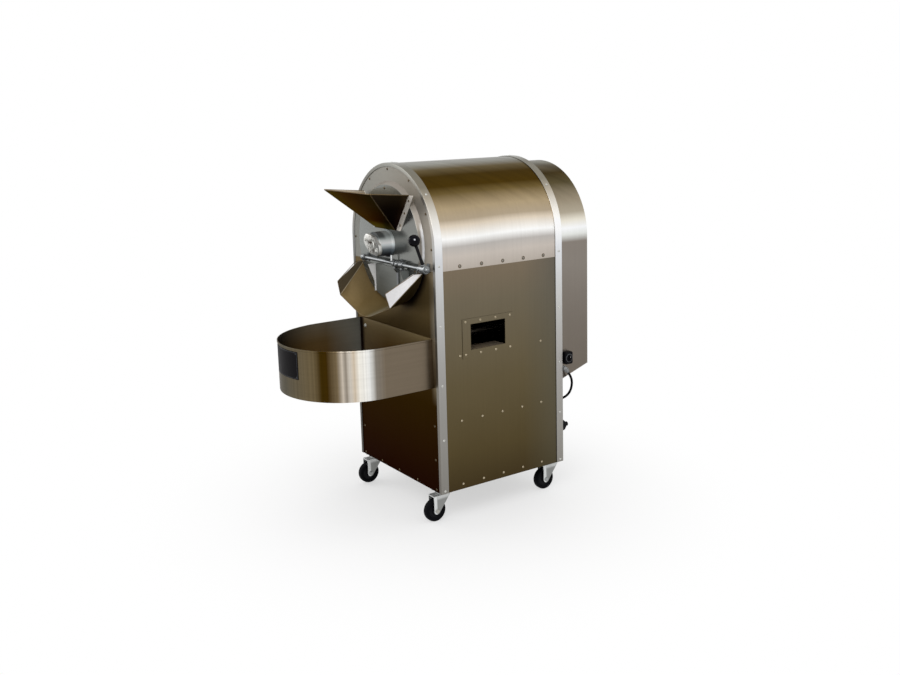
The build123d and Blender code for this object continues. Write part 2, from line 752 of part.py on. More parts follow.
# Discharge chute: a bent apron from the lower edge of the end plate to a shallow rounded lip
chute_y = FRONT - CHUTE_REACH
chute_r = DISC_R + LAP_GAP + SHEET


def back_point(angle, radius):
    """Point on a circle about the drum axis, angle degrees below it on the right."""
    return (radius * cos(radians(angle)), AXIS_Z - radius * sin(radians(angle)))


def mirrored(point):
    """The same point on the left."""
    return (-point[0], point[1])


def chute_solid(lift):
    """Body between the front wall and the chute's mouth, with its lower skin raised by lift."""
    rear_r = chute_r - lift
    rear_end = back_point(CHUTE_BACK_ANGLE, rear_r)
    rear_side = back_point((CHUTE_BACK_ANGLE + CHUTE_FOLD_ANGLE) / 2, rear_r)
    rear_fold = back_point(CHUTE_FOLD_ANGLE, rear_r)
    front_end = (CHUTE_FRONT_HALF, AXIS_Z - CHUTE_FRONT_DROP + lift)
    front_fold = (CHUTE_BEND_HALF, AXIS_Z - CHUTE_BEND_DROP + lift)
    with BuildPart() as body:
        for y, fold, low, top in (
            (FRONT_FACE, rear_fold, AXIS_Z - rear_r, rear_end[1]),
            (chute_y, front_fold, AXIS_Z - CHUTE_LOW_DROP + lift, front_end[1]),
        ):
            with BuildSketch(facing_front(y)):
                with BuildLine():
                    ThreePointArc(mirrored(fold), (0, low), fold)
                    Polyline(fold, (fold[0], top), (-fold[0], top), mirrored(fold))
                make_face()
        loft(ruled=True)
        with BuildSketch(facing_front(FRONT_FACE)):
            with BuildLine():
                ThreePointArc(rear_fold, rear_side, rear_end)
                Polyline(rear_end, (rear_fold[0], rear_end[1]), rear_fold)
            make_face()
        with BuildSketch(facing_front(chute_y)):
            with BuildLine():
                Polyline(front_fold, front_end, (front_fold[0], front_end[1]), close=True)
            make_face()
        wing = loft(ruled=True)
        mirror(wing, about=Plane.YZ)
    return body.part


with BuildPart() as discharge_chute:
    add(chute_solid(0))
    add(chute_solid(SHEET), mode=Mode.SUBTRACT)
    heel_x, heel_z = back_point(CHUTE_BACK_ANGLE, chute_r - SHEET / 2)
    corners = [
        Vector(CHUTE_FRONT_HALF, chute_y, AXIS_Z - CHUTE_FRONT_DROP + SHEET / 2),
        Vector(heel_x, FRONT_FACE, heel_z),
        Vector(heel_x, FRONT - LIP_BACK, AXIS_Z - LIP_BACK_DROP),
        Vector(
            CHUTE_FRONT_HALF - LIP_INSET,
            chute_y - LIP_LEAN,
            AXIS_Z - CHUTE_FRONT_DROP + LIP_HEIGHT,
        ),
    ]
    along = corners[1] - corners[0]
    lip_plane = Plane(origin=corners[0], x_dir=along, z_dir=along.cross(corners[3] - corners[0]))
    with BuildSketch(lip_plane):
        flat = [lip_plane.to_local_coords(corner) for corner in corners]
        foot = [(flat[0].X, -SHEET), (flat[1].X, -SHEET)]
        with BuildLine():
            Polyline(*foot, *[(point.X, point.Y) for point in flat[2:]], close=True)
        make_face()
    lip = extrude(amount=SHEET / 2, both=True)
    mirror(lip, about=Plane.YZ)
    split(bisect_by=Plane.XZ.offset(-FRONT_FACE), keep=Keep.TOP)
save(discharge_chute.part, "discharge_chute")

# Three brackets carry the door rod
bracket_places = (
    (BRACKET_LEFT, DISC_FACE),
    (BRACKET_MID, DISC_FACE),
    (BRACKET_RIGHT, FRONT_FACE),
)
with BuildPart() as rod_brackets:
    for x, foot in bracket_places:
        with BuildSketch(facing_right(x - BRACKET_WIDTH / 2)):
            with Locations((ROD_Y, ROD_Z)):
                Circle(BRACKET_R)
            with Locations(((ROD_Y + foot) / 2, ROD_Z)):
                Rectangle(foot - ROD_Y, 1.5 * BRACKET_R)
            with Locations((foot - SHEET, ROD_Z)):
                Rectangle(2 * SHEET, 2.6 * BRACKET_R)
            with Locations((ROD_Y, ROD_Z)):
                Circle(ROD_R + RUN_GAP, mode=Mode.SUBTRACT)
        extrude(amount=BRACKET_WIDTH)
save(rod_brackets.part, "rod_brackets")

# Door rod with its stop pin
rod_right = LEVER_X + LEVER_BOSS_WIDTH / 2
with BuildPart() as door_rod:
    with BuildSketch(facing_right(ROD_LEFT)):
        with Locations((ROD_Y, ROD_Z)):
            Circle(ROD_R)
    extrude(amount=rod_right - ROD_LEFT)
    with BuildSketch(Plane.XY.offset(ROD_Z)):
        with Locations((STOP_PIN_X, ROD_Y)):
            Circle(STOP_PIN_R)
    extrude(amount=ROD_R + STOP_PIN_HEIGHT)
save(door_rod.part, "door_rod")

# Door plate over the discharge hole, with its side edges folded forward into cheeks that are deep at the top
with BuildPart() as door_plate:
    door_r = outlet_r + DOOR_LAP
    door_low = AXIS_Z - door_r
    with BuildSketch(facing_front(DOOR_FRONT)):
        with Locations((0, AXIS_Z)):
            Circle(door_r)
        with Locations(((DOOR_LEFT + DOOR_RIGHT) / 2, door_top - door_r)):
            Rectangle(DOOR_RIGHT - DOOR_LEFT, 2 * door_r, mode=Mode.INTERSECT)
    extrude(amount=-DOOR_T)
    for x in (DOOR_LEFT, DOOR_RIGHT - DOOR_T):
        reach = door_top - AXIS_Z + sqrt(door_r**2 - max(abs(x), abs(x + DOOR_T)) ** 2)
        with BuildSketch(facing_right(x)):
            with BuildLine():
                Polyline(
                    (DOOR_FRONT, door_top),
                    (DOOR_FRONT - DOOR_CHEEK, door_top),
                    (DOOR_FRONT - DOOR_FLANGE, door_top - DOOR_CHEEK_HEIGHT),
                    (DOOR_FRONT - DOOR_FLANGE, door_top - reach),
                    (DOOR_FRONT, door_top - reach),
                    close=True,
                )
            make_face()
        extrude(amount=DOOR_T)
save(door_plate.part, "door_plate")

# Two straps clamp the rod and hold the door plate, one each side of the middle bracket
strap_low = door_top - (door_top - door_low) * 0.6
with BuildPart() as door_straps:
    for side in (-1, 1):
        x = BRACKET_MID + side * STRAP_SPACING / 2 - STRAP_WIDTH / 2
        with BuildSketch(facing_right(x)):
            with BuildLine():
                Polyline(
                    (ROD_Y - STRAP_T, ROD_Z),
                    (ROD_Y - STRAP_T, ROD_Z - DOOR_TOP_GAP),
                    (DOOR_FRONT - STRAP_T, door_top - ROD_STANDOFF),
                    (DOOR_FRONT - STRAP_T, strap_low),
                    (DOOR_FRONT, strap_low),
                    (DOOR_FRONT, door_top - ROD_STANDOFF + STRAP_T),
                    (ROD_Y + STRAP_T, ROD_Z - DOOR_TOP_GAP + STRAP_T),
                    (ROD_Y + STRAP_T, ROD_Z),
                    close=True,
                )
            make_face()
            with Locations((ROD_Y, ROD_Z)):
                Circle(ROD_R + STRAP_T)
                Circle(ROD_R + WELD_GAP, mode=Mode.SUBTRACT)
        extrude(amount=STRAP_WIDTH)
save(door_straps.part, "door_straps")

# Lever: a boss clamped on the rod and a round arm that leans forward
lever_plane = Plane(
    origin=(LEVER_X, ROD_Y, ROD_Z),
    x_dir=(1, 0, 0),
    z_dir=(0, -sin(radians(LEVER_LEAN)), cos(radians(LEVER_LEAN))),
)
with BuildPart() as lever_arm:
    with BuildSketch(facing_right(LEVER_X - LEVER_BOSS_WIDTH / 2)):
        with Locations((ROD_Y, ROD_Z)):
            Circle(LEVER_BOSS_R)
    extrude(amount=LEVER_BOSS_WIDTH)
    with BuildSketch(lever_plane):
        Circle(LEVER_R)
    extrude(amount=LEVER_LENGTH - KNOB_R + KNOB_SOCKET)
    with BuildSketch(facing_right(LEVER_X - LEVER_BOSS_WIDTH / 2)):
        with Locations((ROD_Y, ROD_Z)):
            Circle(ROD_R + WELD_GAP)
    extrude(amount=LEVER_BOSS_WIDTH, mode=Mode.SUBTRACT)
save(lever_arm.part, "lever_arm")

with BuildPart() as lever_knob:
    with Locations(lever_plane.offset(LEVER_LENGTH).location):
        Sphere(KNOB_R)
    with BuildSketch(lever_plane.offset(LEVER_LENGTH - KNOB_R)):
        Circle(LEVER_R + RUN_GAP)
    extrude(amount=KNOB_SOCKET, mode=Mode.SUBTRACT)
    split(bisect_by=lever_plane.offset(LEVER_LENGTH - 0.95 * KNOB_R), keep=Keep.TOP)
save(lever_knob.part, "lever_knob")

# Cooling tray: a deep half-round wall with a hem, a floor on its inner lip, and a blank plate
with BuildPart() as cooling_tray:
    with BuildSketch(Plane.XY.offset(TRAY_LOW)):
        add(d_shape(TRAY_R, FRONT_FACE))
        add(d_shape(TRAY_R - SHEET, FRONT_FACE - SHEET), mode=Mode.SUBTRACT)
    extrude(amount=TRAY_HEIGHT)
    with BuildSketch(Plane.XY.offset(TRAY_LOW)):
        add(d_shape(TRAY_R, FRONT_FACE))
        add(d_shape(TRAY_R - TRAY_LIP, FRONT_FACE - TRAY_LIP), mode=Mode.SUBTRACT)
    extrude(amount=SHEET)
    with BuildSketch(Plane.XY.offset(TRAY_RIM - TRAY_HEM_HEIGHT)):
        add(d_shape(TRAY_R + TRAY_HEM, FRONT_FACE))
        add(d_shape(TRAY_R - SHEET, FRONT_FACE - SHEET), mode=Mode.SUBTRACT)
    extrude(amount=TRAY_HEM_HEIGHT)
save(cooling_tray.part, "cooling_tray")

with BuildPart() as tray_floor:
    with BuildSketch(Plane.XY.offset(TRAY_LOW + SHEET)):
        add(d_shape(TRAY_R - SHEET - LAP_GAP, FRONT_FACE - SHEET - LAP_GAP))
    extrude(amount=SHEET)
save(tray_floor.part, "tray_floor")


def nose_point(angle, radius):
    """Point at an angle round the tray's half-round nose."""
    return (radius * cos(radians(angle)), TRAY_Y + radius * sin(radians(angle)))


with BuildPart() as name_plate:
    with BuildSketch(Plane.XY.offset(TRAY_RIM - PLATE_TOP_GAP - PLATE_HEIGHT)):
        with BuildLine():
            inner_r = TRAY_R + LAP_GAP
            outer_r = inner_r + PLATE_T
            middle = (PLATE_FROM + PLATE_TO) / 2
            for radius in (inner_r, outer_r):
                ThreePointArc(
                    nose_point(PLATE_FROM, radius),
                    nose_point(middle, radius),
                    nose_point(PLATE_TO, radius),
                )
            for angle in (PLATE_FROM, PLATE_TO):
                Line(nose_point(angle, inner_r), nose_point(angle, outer_r))
        make_face()
    extrude(amount=PLATE_HEIGHT)
save(name_plate.part, "name_plate")

# Rear drive housing, open to the rear wall: a back plate, a rolled top, two sides and a sloped floor
drive_low_front = BASE_Z + DRIVE_LOW_FRONT
drive_low_back = BASE_Z + DRIVE_LOW_BACK
wrap_back = DRIVE_BACK - SHEET
drive_slope = (drive_low_back - drive_low_front) / (wrap_back - REAR_FACE)
floor_rise = SHEET * sqrt(1 + drive_slope**2)
with BuildPart() as housing_back:
    with BuildSketch(facing_front(DRIVE_BACK)):
        add(arch(DRIVE_R, drive_low_back, DRIVE_AXIS_Z))
    extrude(amount=SHEET)

with BuildPart() as housing_top:
    with BuildSketch(facing_front(REAR_FACE)):
        with Locations((0, DRIVE_AXIS_Z)):
            Circle(DRIVE_R)
            Circle(DRIVE_R - SHEET, mode=Mode.SUBTRACT)
            Rectangle(2 * DRIVE_R, DRIVE_R, align=(Align.CENTER, Align.MAX), mode=Mode.SUBTRACT)
    extrude(amount=REAR_FACE - wrap_back)

housing_sides = []
for x in (-DRIVE_R, DRIVE_R - SHEET):
    with BuildPart() as housing_side:
        with BuildSketch(facing_right(x)):
            with BuildLine():
                Polyline(
                    (REAR_FACE, drive_low_front),
                    (wrap_back, drive_low_back),
                    (wrap_back, DRIVE_AXIS_Z),
                    (REAR_FACE, DRIVE_AXIS_Z),
                    close=True,
                )
            make_face()
        extrude(amount=SHEET)
    housing_sides.append(housing_side.part.solid())

with BuildPart() as housing_floor:
    with BuildSketch(facing_right(SHEET - DRIVE_R)):
        with BuildLine():
            Polyline(
                (REAR_FACE, drive_low_front),
                (wrap_back, drive_low_back),
                (wrap_back, drive_low_back + floor_rise),
                (REAR_FACE, drive_low_front + floor_rise),
                close=True,
            )
        make_face()
    extrude(amount=2 * (DRIVE_R - SHEET))
housing_sheets = [piece.part.solid() for piece in (housing_back, housing_top, housing_floor)]
rear_housing = Compound(housing_sheets + housing_sides)
save(rear_housing, "rear_housing")

# Gearmotor on the rear wall, its sprocket and the chain up to the drum sprocket
gearbox_back = REAR_FACE + GEARBOX_DEPTH
with BuildPart() as gearmotor:
    with BuildSketch(facing_front(REAR_FACE)):
        with Locations((0, MOTOR_Z)):
            RectangleRounded(2 * GEARBOX_HALF, 2 * GEARBOX_HALF, GEARBOX_HALF / 5)
    extrude(amount=-GEARBOX_DEPTH)
    with BuildSketch(Plane.XY.offset(MOTOR_Z)):
        with Locations((0, REAR_FACE + MOTOR_R + SHEET)):
            Circle(MOTOR_R)
    extrude(amount=-GEARBOX_HALF - MOTOR_LENGTH)
    with BuildSketch(facing_front(gearbox_back)):
        with Locations((0, MOTOR_Z)):
            Circle(MOTOR_SHAFT_R + RUN_GAP)
    extrude(amount=GEARBOX_DEPTH / 2, mode=Mode.SUBTRACT)
save(gearmotor.part, "gearmotor")

with BuildPart() as motor_sprocket:
    with BuildSketch(facing_front(SPROCKET_Y)):
        with Locations((0, MOTOR_Z)):
            Circle(motor_pitch + TOOTH_TIP)
            with PolarLocations(motor_pitch, MOTOR_TEETH, start_angle=90):
                Circle(ROLLER_R, mode=Mode.SUBTRACT)
    extrude(amount=-SPROCKET_T)
    with BuildSketch(facing_front(SPROCKET_Y + SPROCKET_T)):
        with Locations((0, MOTOR_Z)):
            Circle(MOTOR_SHAFT_R)
    extrude(amount=SPROCKET_Y + SPROCKET_T - gearbox_back + GEARBOX_DEPTH / 3)
save(motor_sprocket.part, "motor_sprocket")

chain_top = drum_pitch + TOOTH_TIP + CHAIN_GAP
chain_low = motor_pitch + TOOTH_TIP + CHAIN_GAP
with BuildPart() as drive_chain:
    with BuildSketch(facing_front(SPROCKET_Y + (SPROCKET_T - CHAIN_WIDTH) / 2)):
        add(loop_face(chain_top + CHAIN_THICK, chain_low + CHAIN_THICK))
        add(loop_face(chain_top, chain_low), mode=Mode.SUBTRACT)
    extrude(amount=-CHAIN_WIDTH)
save(drive_chain.part, "drive_chain")

# Rotary switch on the right of the drive housing
switch_y = REAR + SWITCH_BACK
switch_z = BASE_Z + SWITCH_RISE
with BuildPart() as switch_body:
    with BuildSketch(facing_right(DRIVE_R)):
        with Locations((switch_y, switch_z)):
            RectangleRounded(SWITCH_WIDTH, SWITCH_HEIGHT, SWITCH_WIDTH / 6)
    extrude(amount=SWITCH_DEPTH)
    fillet(switch_body.faces().sort_by(Axis.X)[-1].edges(), SWITCH_WIDTH / 12)
save(switch_body.part, "switch_body")

with BuildPart() as switch_knob:
    with BuildSketch(facing_right(DRIVE_R + SWITCH_DEPTH + LAP_GAP)):
        with Locations((switch_y, switch_z)):
            Circle(SWITCH_KNOB_R)
    extrude(amount=SWITCH_KNOB_T / 3)
    with BuildSketch(facing_right(DRIVE_R + SWITCH_DEPTH + LAP_GAP)):
        with Locations((switch_y, switch_z)):
            SlotOverall(1.9 * SWITCH_KNOB_R, 0.7 * SWITCH_KNOB_R, rotation=90)
    extrude(amount=SWITCH_KNOB_T)
save(switch_knob.part, "switch_knob")

# Lead from the elbow gland on the drive housing, round the corner and into the rear wall
LEAD_POINTS = (
    (DRIVE_R + 18.0, REAR + 26.0, BASE_Z + 422.0),
    (DRIVE_R + 22.0, REAR + 36.0, BASE_Z + 406.0),
    (DRIVE_R + 23.0, REAR + 44.0, BASE_Z + 386.0),
    (DRIVE_R + 20.0, REAR + 48.0, BASE_Z + 362.0),
    (DRIVE_R + 13.0, REAR + 48.0, BASE_Z + 337.0),
    (DRIVE_R + 1.0, REAR + 46.0, BASE_Z + 315.0),
    (DRIVE_R - 15.0, REAR + 42.0, BASE_Z + 298.0),
    (DRIVE_R - 31.0, REAR + 33.0, BASE_Z + 286.0),
    (lead_hole_x, REAR + 17.0, lead_hole_z),
    (lead_hole_x, REAR + 5.0, lead_hole_z),
)
TANGENT_SHARE = 0.45


def corner_radius(before, corner, after):
    """Largest arc that the two runs at a corner leave room for."""
    first = Vector(corner) - Vector(before)
    second = Vector(after) - Vector(corner)
    shorter = min(first.length, second.length)
    return TANGENT_SHARE * shorter / tan(radians(first.get_angle(second)) / 2)


lead_radii = [corner_radius(*LEAD_POINTS[i - 1 : i + 2]) for i in range(1, len(LEAD_POINTS) - 1)]
print("lead radii", [round(radius, 1) for radius in lead_radii])
first_run = Vector(LEAD_POINTS[1]) - Vector(LEAD_POINTS[0])
with BuildPart() as power_lead:
    with BuildLine() as lead_path:
        FilletPolyline(*LEAD_POINTS, radius=lead_radii)
    with BuildSketch(Plane(origin=LEAD_POINTS[0], z_dir=first_run)):
        Circle(LEAD_R)
    sweep()
lead_length = lead_path.wires()[0].length
section = 3.14159265 * LEAD_R**2
print("lead length", round(lead_length, 1), "volume ratio", power_lead.part.volume / (section * lead_length))
save(power_lead.part, "power_lead")

last_run = Vector(LEAD_POINTS[-1]) - Vector(LEAD_POINTS[-2])
elbow = Vector(LEAD_POINTS[0]) - first_run.normalized() * 2 * GLAND_R
with BuildPart() as cable_glands:
    with BuildSketch(facing_right(DRIVE_R)):
        with Locations((elbow.Y, elbow.Z)):
            Circle(GLAND_R)
    extrude(amount=elbow.X - DRIVE_R)
    with Locations((elbow.X, elbow.Y, elbow.Z)):
        Sphere(GLAND_R)
    with BuildSketch(Plane(origin=elbow, z_dir=first_run)):
        Circle(GLAND_R)
    extrude(amount=2 * GLAND_R)
    with BuildSketch(facing_front(REAR_FACE)):
        with Locations((lead_hole_x, lead_hole_z)):
            Circle(GLAND_R)
    extrude(amount=REAR_FACE - LEAD_POINTS[-1][1])
save(cable_glands.part, "cable_glands")

# Casters: plates under the base frame; forks, axles and wheels swivelled to trail forward
caster_places = {
    "front_left": (-(HALF - CASTER_SIDE), FRONT + CASTER_FRONT),
    "front_right": (HALF - CASTER_SIDE, FRONT + CASTER_FRONT),
    "rear_left": (-(HALF - CASTER_SIDE), REAR - CASTER_REAR),
    "rear_right": (HALF - CASTER_SIDE, REAR - CASTER_REAR),
}
with BuildPart() as caster_plates:
    for x, y in caster_places.values():
        with BuildSketch(Plane.XY.offset(BASE_Z - CASTER_PLATE_T)):
            with Locations((x, y)):
                RectangleRounded(PLATE_X, PLATE_Y, PLATE_Y / 8)
        extrude(amount=CASTER_PLATE_T)
        with BuildSketch(Plane.XY.offset(BASE_Z - CASTER_PLATE_T)):
            with Locations((x, y)):
                Circle(RACE_R)
                Circle(KING_R + RUN_GAP, mode=Mode.SUBTRACT)
        extrude(amount=-RACE_HEIGHT)
save(caster_plates.part, "caster_plates")

crown_top = BASE_Z - CASTER_PLATE_T - RACE_HEIGHT - LAP_GAP
cheek_in = WHEEL_HUB / 2 + CHEEK_GAP
crown_half = cheek_in + CHEEK_T
for corner, (x, y) in caster_places.items():
    axle_y = y - CASTER_TRAIL
    fork_front = axle_y - CHEEK_END_R
    fork_middle = (fork_front + y + RACE_R) / 2
    fork_length = y + RACE_R - fork_front
    with BuildPart() as fork:
        with BuildSketch(Plane.XY.offset(crown_top)):
            with Locations((x, fork_middle)):
                Rectangle(2 * crown_half, fork_length)
        extrude(amount=-CROWN_T)
        with BuildSketch(Plane.XY.offset(crown_top)):
            with Locations((x, y)):
                Circle(KING_R)
        extrude(amount=RACE_HEIGHT - 2 * LAP_GAP)
        for side in (x - crown_half, x + cheek_in):
            with BuildSketch(facing_right(side)):
                with Locations((fork_middle, crown_top - CROWN_T / 2)):
                    Rectangle(fork_length, CROWN_T)
                with Locations((axle_y, WHEEL_R)):
                    Circle(CHEEK_END_R)
                make_hull()
                with Locations((axle_y, WHEEL_R)):
                    Circle(AXLE_R + RUN_GAP, mode=Mode.SUBTRACT)
            extrude(amount=CHEEK_T)
    save(fork.part, f"caster_fork_{corner}")

    with BuildPart() as axle:
        with BuildSketch(facing_right(x - crown_half - AXLE_R)):
            with Locations((axle_y, WHEEL_R)):
                Circle(AXLE_R)
        extrude(amount=2 * (crown_half + AXLE_R))
        for side, way in ((x - crown_half, -1), (x + crown_half, 1)):
            with BuildSketch(facing_right(side)):
                with Locations((axle_y, WHEEL_R)):
                    RegularPolygon(1.8 * AXLE_R, 6)
            extrude(amount=way * AXLE_R)
    save(axle.part, f"caster_axle_{corner}")

    with BuildPart() as wheel:
        with BuildSketch(Plane(origin=(x, axle_y, WHEEL_R), x_dir=(1, 0, 0), z_dir=(0, -1, 0))):
            with BuildLine():
                Polyline(
                    (-WHEEL_HUB / 2, AXLE_R + RUN_GAP),
                    (WHEEL_HUB / 2, AXLE_R + RUN_GAP),
                    (WHEEL_HUB / 2, 0.32 * WHEEL_R),
                    (WHEEL_WIDTH / 4, 0.36 * WHEEL_R),
                    (WHEEL_WIDTH / 4, 0.68 * WHEEL_R),
                    (WHEEL_WIDTH / 2, 0.74 * WHEEL_R),
                    (WHEEL_WIDTH / 2, 0.94 * WHEEL_R),
                    (0.36 * WHEEL_WIDTH, WHEEL_R),
                    (-0.36 * WHEEL_WIDTH, WHEEL_R),
                    (-WHEEL_WIDTH / 2, 0.94 * WHEEL_R),
                    (-WHEEL_WIDTH / 2, 0.74 * WHEEL_R),
                    (-WHEEL_WIDTH / 4, 0.68 * WHEEL_R),
                    (-WHEEL_WIDTH / 4, 0.36 * WHEEL_R),
                    (-WHEEL_HUB / 2, 0.32 * WHEEL_R),
                    close=True,
                )
            make_face()
        revolve(axis=Axis((x, axle_y, WHEEL_R), (1, 0, 0)))
    save(wheel.part, f"caster_wheel_{corner}")

# Screw heads on the cabinet: side rows, cover rows, trim bands, front panel and drive housing
row_step = (CAB_DEPTH - ROW_FRONT - ROW_REAR) / (ROW_COUNT - 1)
row_ys = [FRONT + ROW_FRONT + k * row_step for k in range(ROW_COUNT)]
cover_step = (CAB_DEPTH - COVER_ROW_FRONT - COVER_ROW_REAR) / (ROW_COUNT - 1)
cover_ys = [FRONT + COVER_ROW_FRONT + k * cover_step for k in range(ROW_COUNT)]
side_spots = [(y, z) for y in row_ys for z in (BASE_Z + ROW_LOW, BASE_Z + ROW_MIDDLE)]
side_spots += [(y, COVER_Z + COVER_ROW_RISE) for y in cover_ys]
side_spots += [(y, BASE_Z + ROW_HIGH) for y in (row_ys[0], row_ys[-1])]
trim_zs = [BASE_Z + rise for rise in TRIM_RISES]
trim_ys = (FRONT + TRIM_SIDE_LEG / 2, REAR - TRIM_SIDE_LEG / 2)
screw_planes = []
for side in (-1, 1):
    spots = [(SKIN, y, z) for y, z in side_spots] + [(HALF, y, z) for y in trim_ys for z in trim_zs]
    for x, y, z in spots:
        screw_planes.append(Plane(origin=(side * x, y, z), x_dir=(0, 1, 0), z_dir=(side, 0, 0)))
for y in trim_ys:
    for angle in (40, 90, 140):
        out = (cos(radians(angle)), 0, sin(radians(angle)))
        spot = (HALF * out[0], y, AXIS_Z + HALF * out[2])
        screw_planes.append(Plane(origin=spot, x_dir=(0, 1, 0), z_dir=out))
panel_edge = HALF - PANEL_EDGE
panel_spots = [(side * panel_edge, BASE_Z + rise) for side in (-1, 1) for rise in PANEL_RISES]
panel_spots += [(k * panel_edge / 2, BASE_Z + PANEL_ROW) for k in (-2, -1, 0, 1, 2)]
screw_planes += [
    Plane(origin=(x, FRONT_FACE, z), x_dir=(1, 0, 0), z_dir=(0, -1, 0)) for x, z in panel_spots
]
housing_zs = (drive_low_back + HOUSING_SCREW_RISE, DRIVE_AXIS_Z)
screw_planes += [
    Plane(origin=(x, DRIVE_BACK, z), x_dir=(1, 0, 0), z_dir=(0, 1, 0))
    for x in (-DRIVE_R + 4 * SCREW_R, DRIVE_R - 4 * SCREW_R)
    for z in housing_zs
]
with BuildPart() as cabinet_screws:
    with BuildSketch(*screw_planes):
        Circle(SCREW_R)
    extrude(amount=SCREW_H, taper=25)
save(cabinet_screws.part, "cabinet_screws")

# Screw heads round the front plate, on the end plate, hopper flanges and window surround
plate_ring = HALF - PLATE_SCREW_INSET
front_planes = []
for angle in (0, 27, 60, 92, 122, 153, 180):
    spot = (plate_ring * cos(radians(angle)), FRONT_FACE, AXIS_Z + plate_ring * sin(radians(angle)))
    front_planes.append(Plane(origin=spot, x_dir=(1, 0, 0), z_dir=(0, -1, 0)))
for angle in (93, 205, 335):
    ring = DISC_FACE_R - 3 * SCREW_R
    spot = (ring * cos(radians(angle)), DISC_FACE, AXIS_Z + ring * sin(radians(angle)))
    front_planes.append(Plane(origin=spot, x_dir=(1, 0, 0), z_dir=(0, -1, 0)))
for share in (0.15, 0.5, 0.85):
    z = hopper_low + share * (rear_rim - hopper_low)
    x = HOPPER_LOW_HALF + (z - hopper_low) * hopper_slope + HOPPER_FLANGE / 2
    for side in (-1, 1):
        spot = (side * x, DISC_FACE - SHEET, z)
        front_planes.append(Plane(origin=spot, x_dir=(1, 0, 0), z_dir=(0, -1, 0)))
for share in (-0.44, -0.15, 0.15, 0.44):
    for z in (window_z - WINDOW_HEIGHT / 2 - FRAME_LOW / 2, window_z + WINDOW_HEIGHT / 2 + FRAME_TOP / 2):
        spot = (SKIN + SHEET, window_y + share * frame_length, z)
        front_planes.append(Plane(origin=spot, x_dir=(0, 1, 0), z_dir=(1, 0, 0)))

# Bolt heads on the bearing cap and the tray's rear wall
bolt_planes = []
for x, z in cap_spots(CAP_BOLT_REACH):
    spot = (x, DISC_FACE - HOUSING_LENGTH - CAP_T, z)
    bolt_planes.append(Plane(origin=spot, x_dir=(1, 0, 0), z_dir=(0, -1, 0)))
for x in (-0.85 * TRAY_R, 0.85 * TRAY_R):
    for z in (TRAY_RIM - TRAY_BOLT_INSET, TRAY_LOW + TRAY_BOLT_INSET):
        spot = (x, FRONT_FACE - SHEET, z)
        bolt_planes.append(Plane(origin=spot, x_dir=(1, 0, 0), z_dir=(0, -1, 0)))
with BuildPart() as front_fasteners:
    with BuildSketch(*front_planes):
        Circle(SCREW_R)
    extrude(amount=SCREW_H, taper=25)
    with BuildSketch(*bolt_planes):
        RegularPolygon(BOLT_R, 6)
    extrude(amount=BOLT_H)
save(front_fasteners.part, "front_fasteners")
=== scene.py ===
import json
from math import acos, cos, pi, radians, sin

import bpy
from mathutils import Matrix, Vector


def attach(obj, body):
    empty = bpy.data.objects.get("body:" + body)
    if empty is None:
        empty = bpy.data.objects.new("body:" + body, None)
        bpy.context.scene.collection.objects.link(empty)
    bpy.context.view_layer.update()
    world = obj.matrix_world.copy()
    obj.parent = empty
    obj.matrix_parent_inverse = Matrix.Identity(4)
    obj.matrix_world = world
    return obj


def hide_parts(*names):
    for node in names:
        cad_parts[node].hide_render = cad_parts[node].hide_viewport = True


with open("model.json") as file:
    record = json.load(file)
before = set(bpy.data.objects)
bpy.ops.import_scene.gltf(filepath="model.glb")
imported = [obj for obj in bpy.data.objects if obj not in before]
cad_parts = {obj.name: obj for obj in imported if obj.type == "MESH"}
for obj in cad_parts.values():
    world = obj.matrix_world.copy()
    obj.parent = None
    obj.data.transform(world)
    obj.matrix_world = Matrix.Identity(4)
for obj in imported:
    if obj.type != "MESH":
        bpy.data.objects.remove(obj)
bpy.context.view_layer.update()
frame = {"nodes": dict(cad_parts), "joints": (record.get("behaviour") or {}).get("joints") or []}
nodes = frame["nodes"]
joint_at = {joint["name"]: Vector(joint["pos_m"]) for joint in frame["joints"]}


def box(node):
    """Low and high corner of a node's solids."""
    points = [v.co for v in nodes[node].data.vertices]
    return [Vector([pick(p[i] for p in points) for i in range(3)]) for pick in (min, max)]


# Places of the solids, in metres: floor Z = 0, front faces -Y, window and lever on +X
X = Vector((1, 0, 0))
Y = Vector((0, 1, 0))
Z = Vector((0, 0, 1))
trim_low, trim_high = box("front_trim_band")
cover_low, cover_high = box("top_cover")
tray_low, tray_high = box("cooling_tray")
plate_low, plate_high = box("name_plate")
lever_low, lever_high = box("lever_arm")
union_low, union_high = box("gas_union")
drive_high = box("rear_housing")[1]
HALF = trim_high.x
BASE = trim_low.z
FRONT = trim_low.y
REAR = box("rear_trim_band")[1].y
MIDDLE = (FRONT + REAR) / 2
AXIS = joint_at["drum_spin"].z
SKIN = cover_high.x
COVER_Z = cover_low.z
FRONT_FACE = cover_low.y
REAR_FACE = cover_high.y
DISC_FACE = box("drum_end_plate")[0].y
DISC_FACE_R = 0.255
ROD_Y, ROD_Z = joint_at["door_swing"].yz
LEVER_X = (lever_low.x + lever_high.x) / 2
TRAY_RIM = tray_high.z
TRAY_LOW = tray_low.z
TRAY_HEM = 0.002
TRAY_R = tray_high.x - TRAY_HEM
TRAY_Y = tray_low.y + tray_high.x
DRIVE_R = drive_high.x
DRIVE_AXIS = 1.177
DRIVE_BACK = drive_high.y
CORNERS = ("front_left", "front_right", "rear_left", "rear_right")


# Mesh helpers

POINT = 1e-5  # radius of a ring that closes to a point


def add(name, data):
    """A new object in the scene."""
    obj = bpy.data.objects.new(name, data)
    bpy.context.scene.collection.objects.link(obj)
    return obj


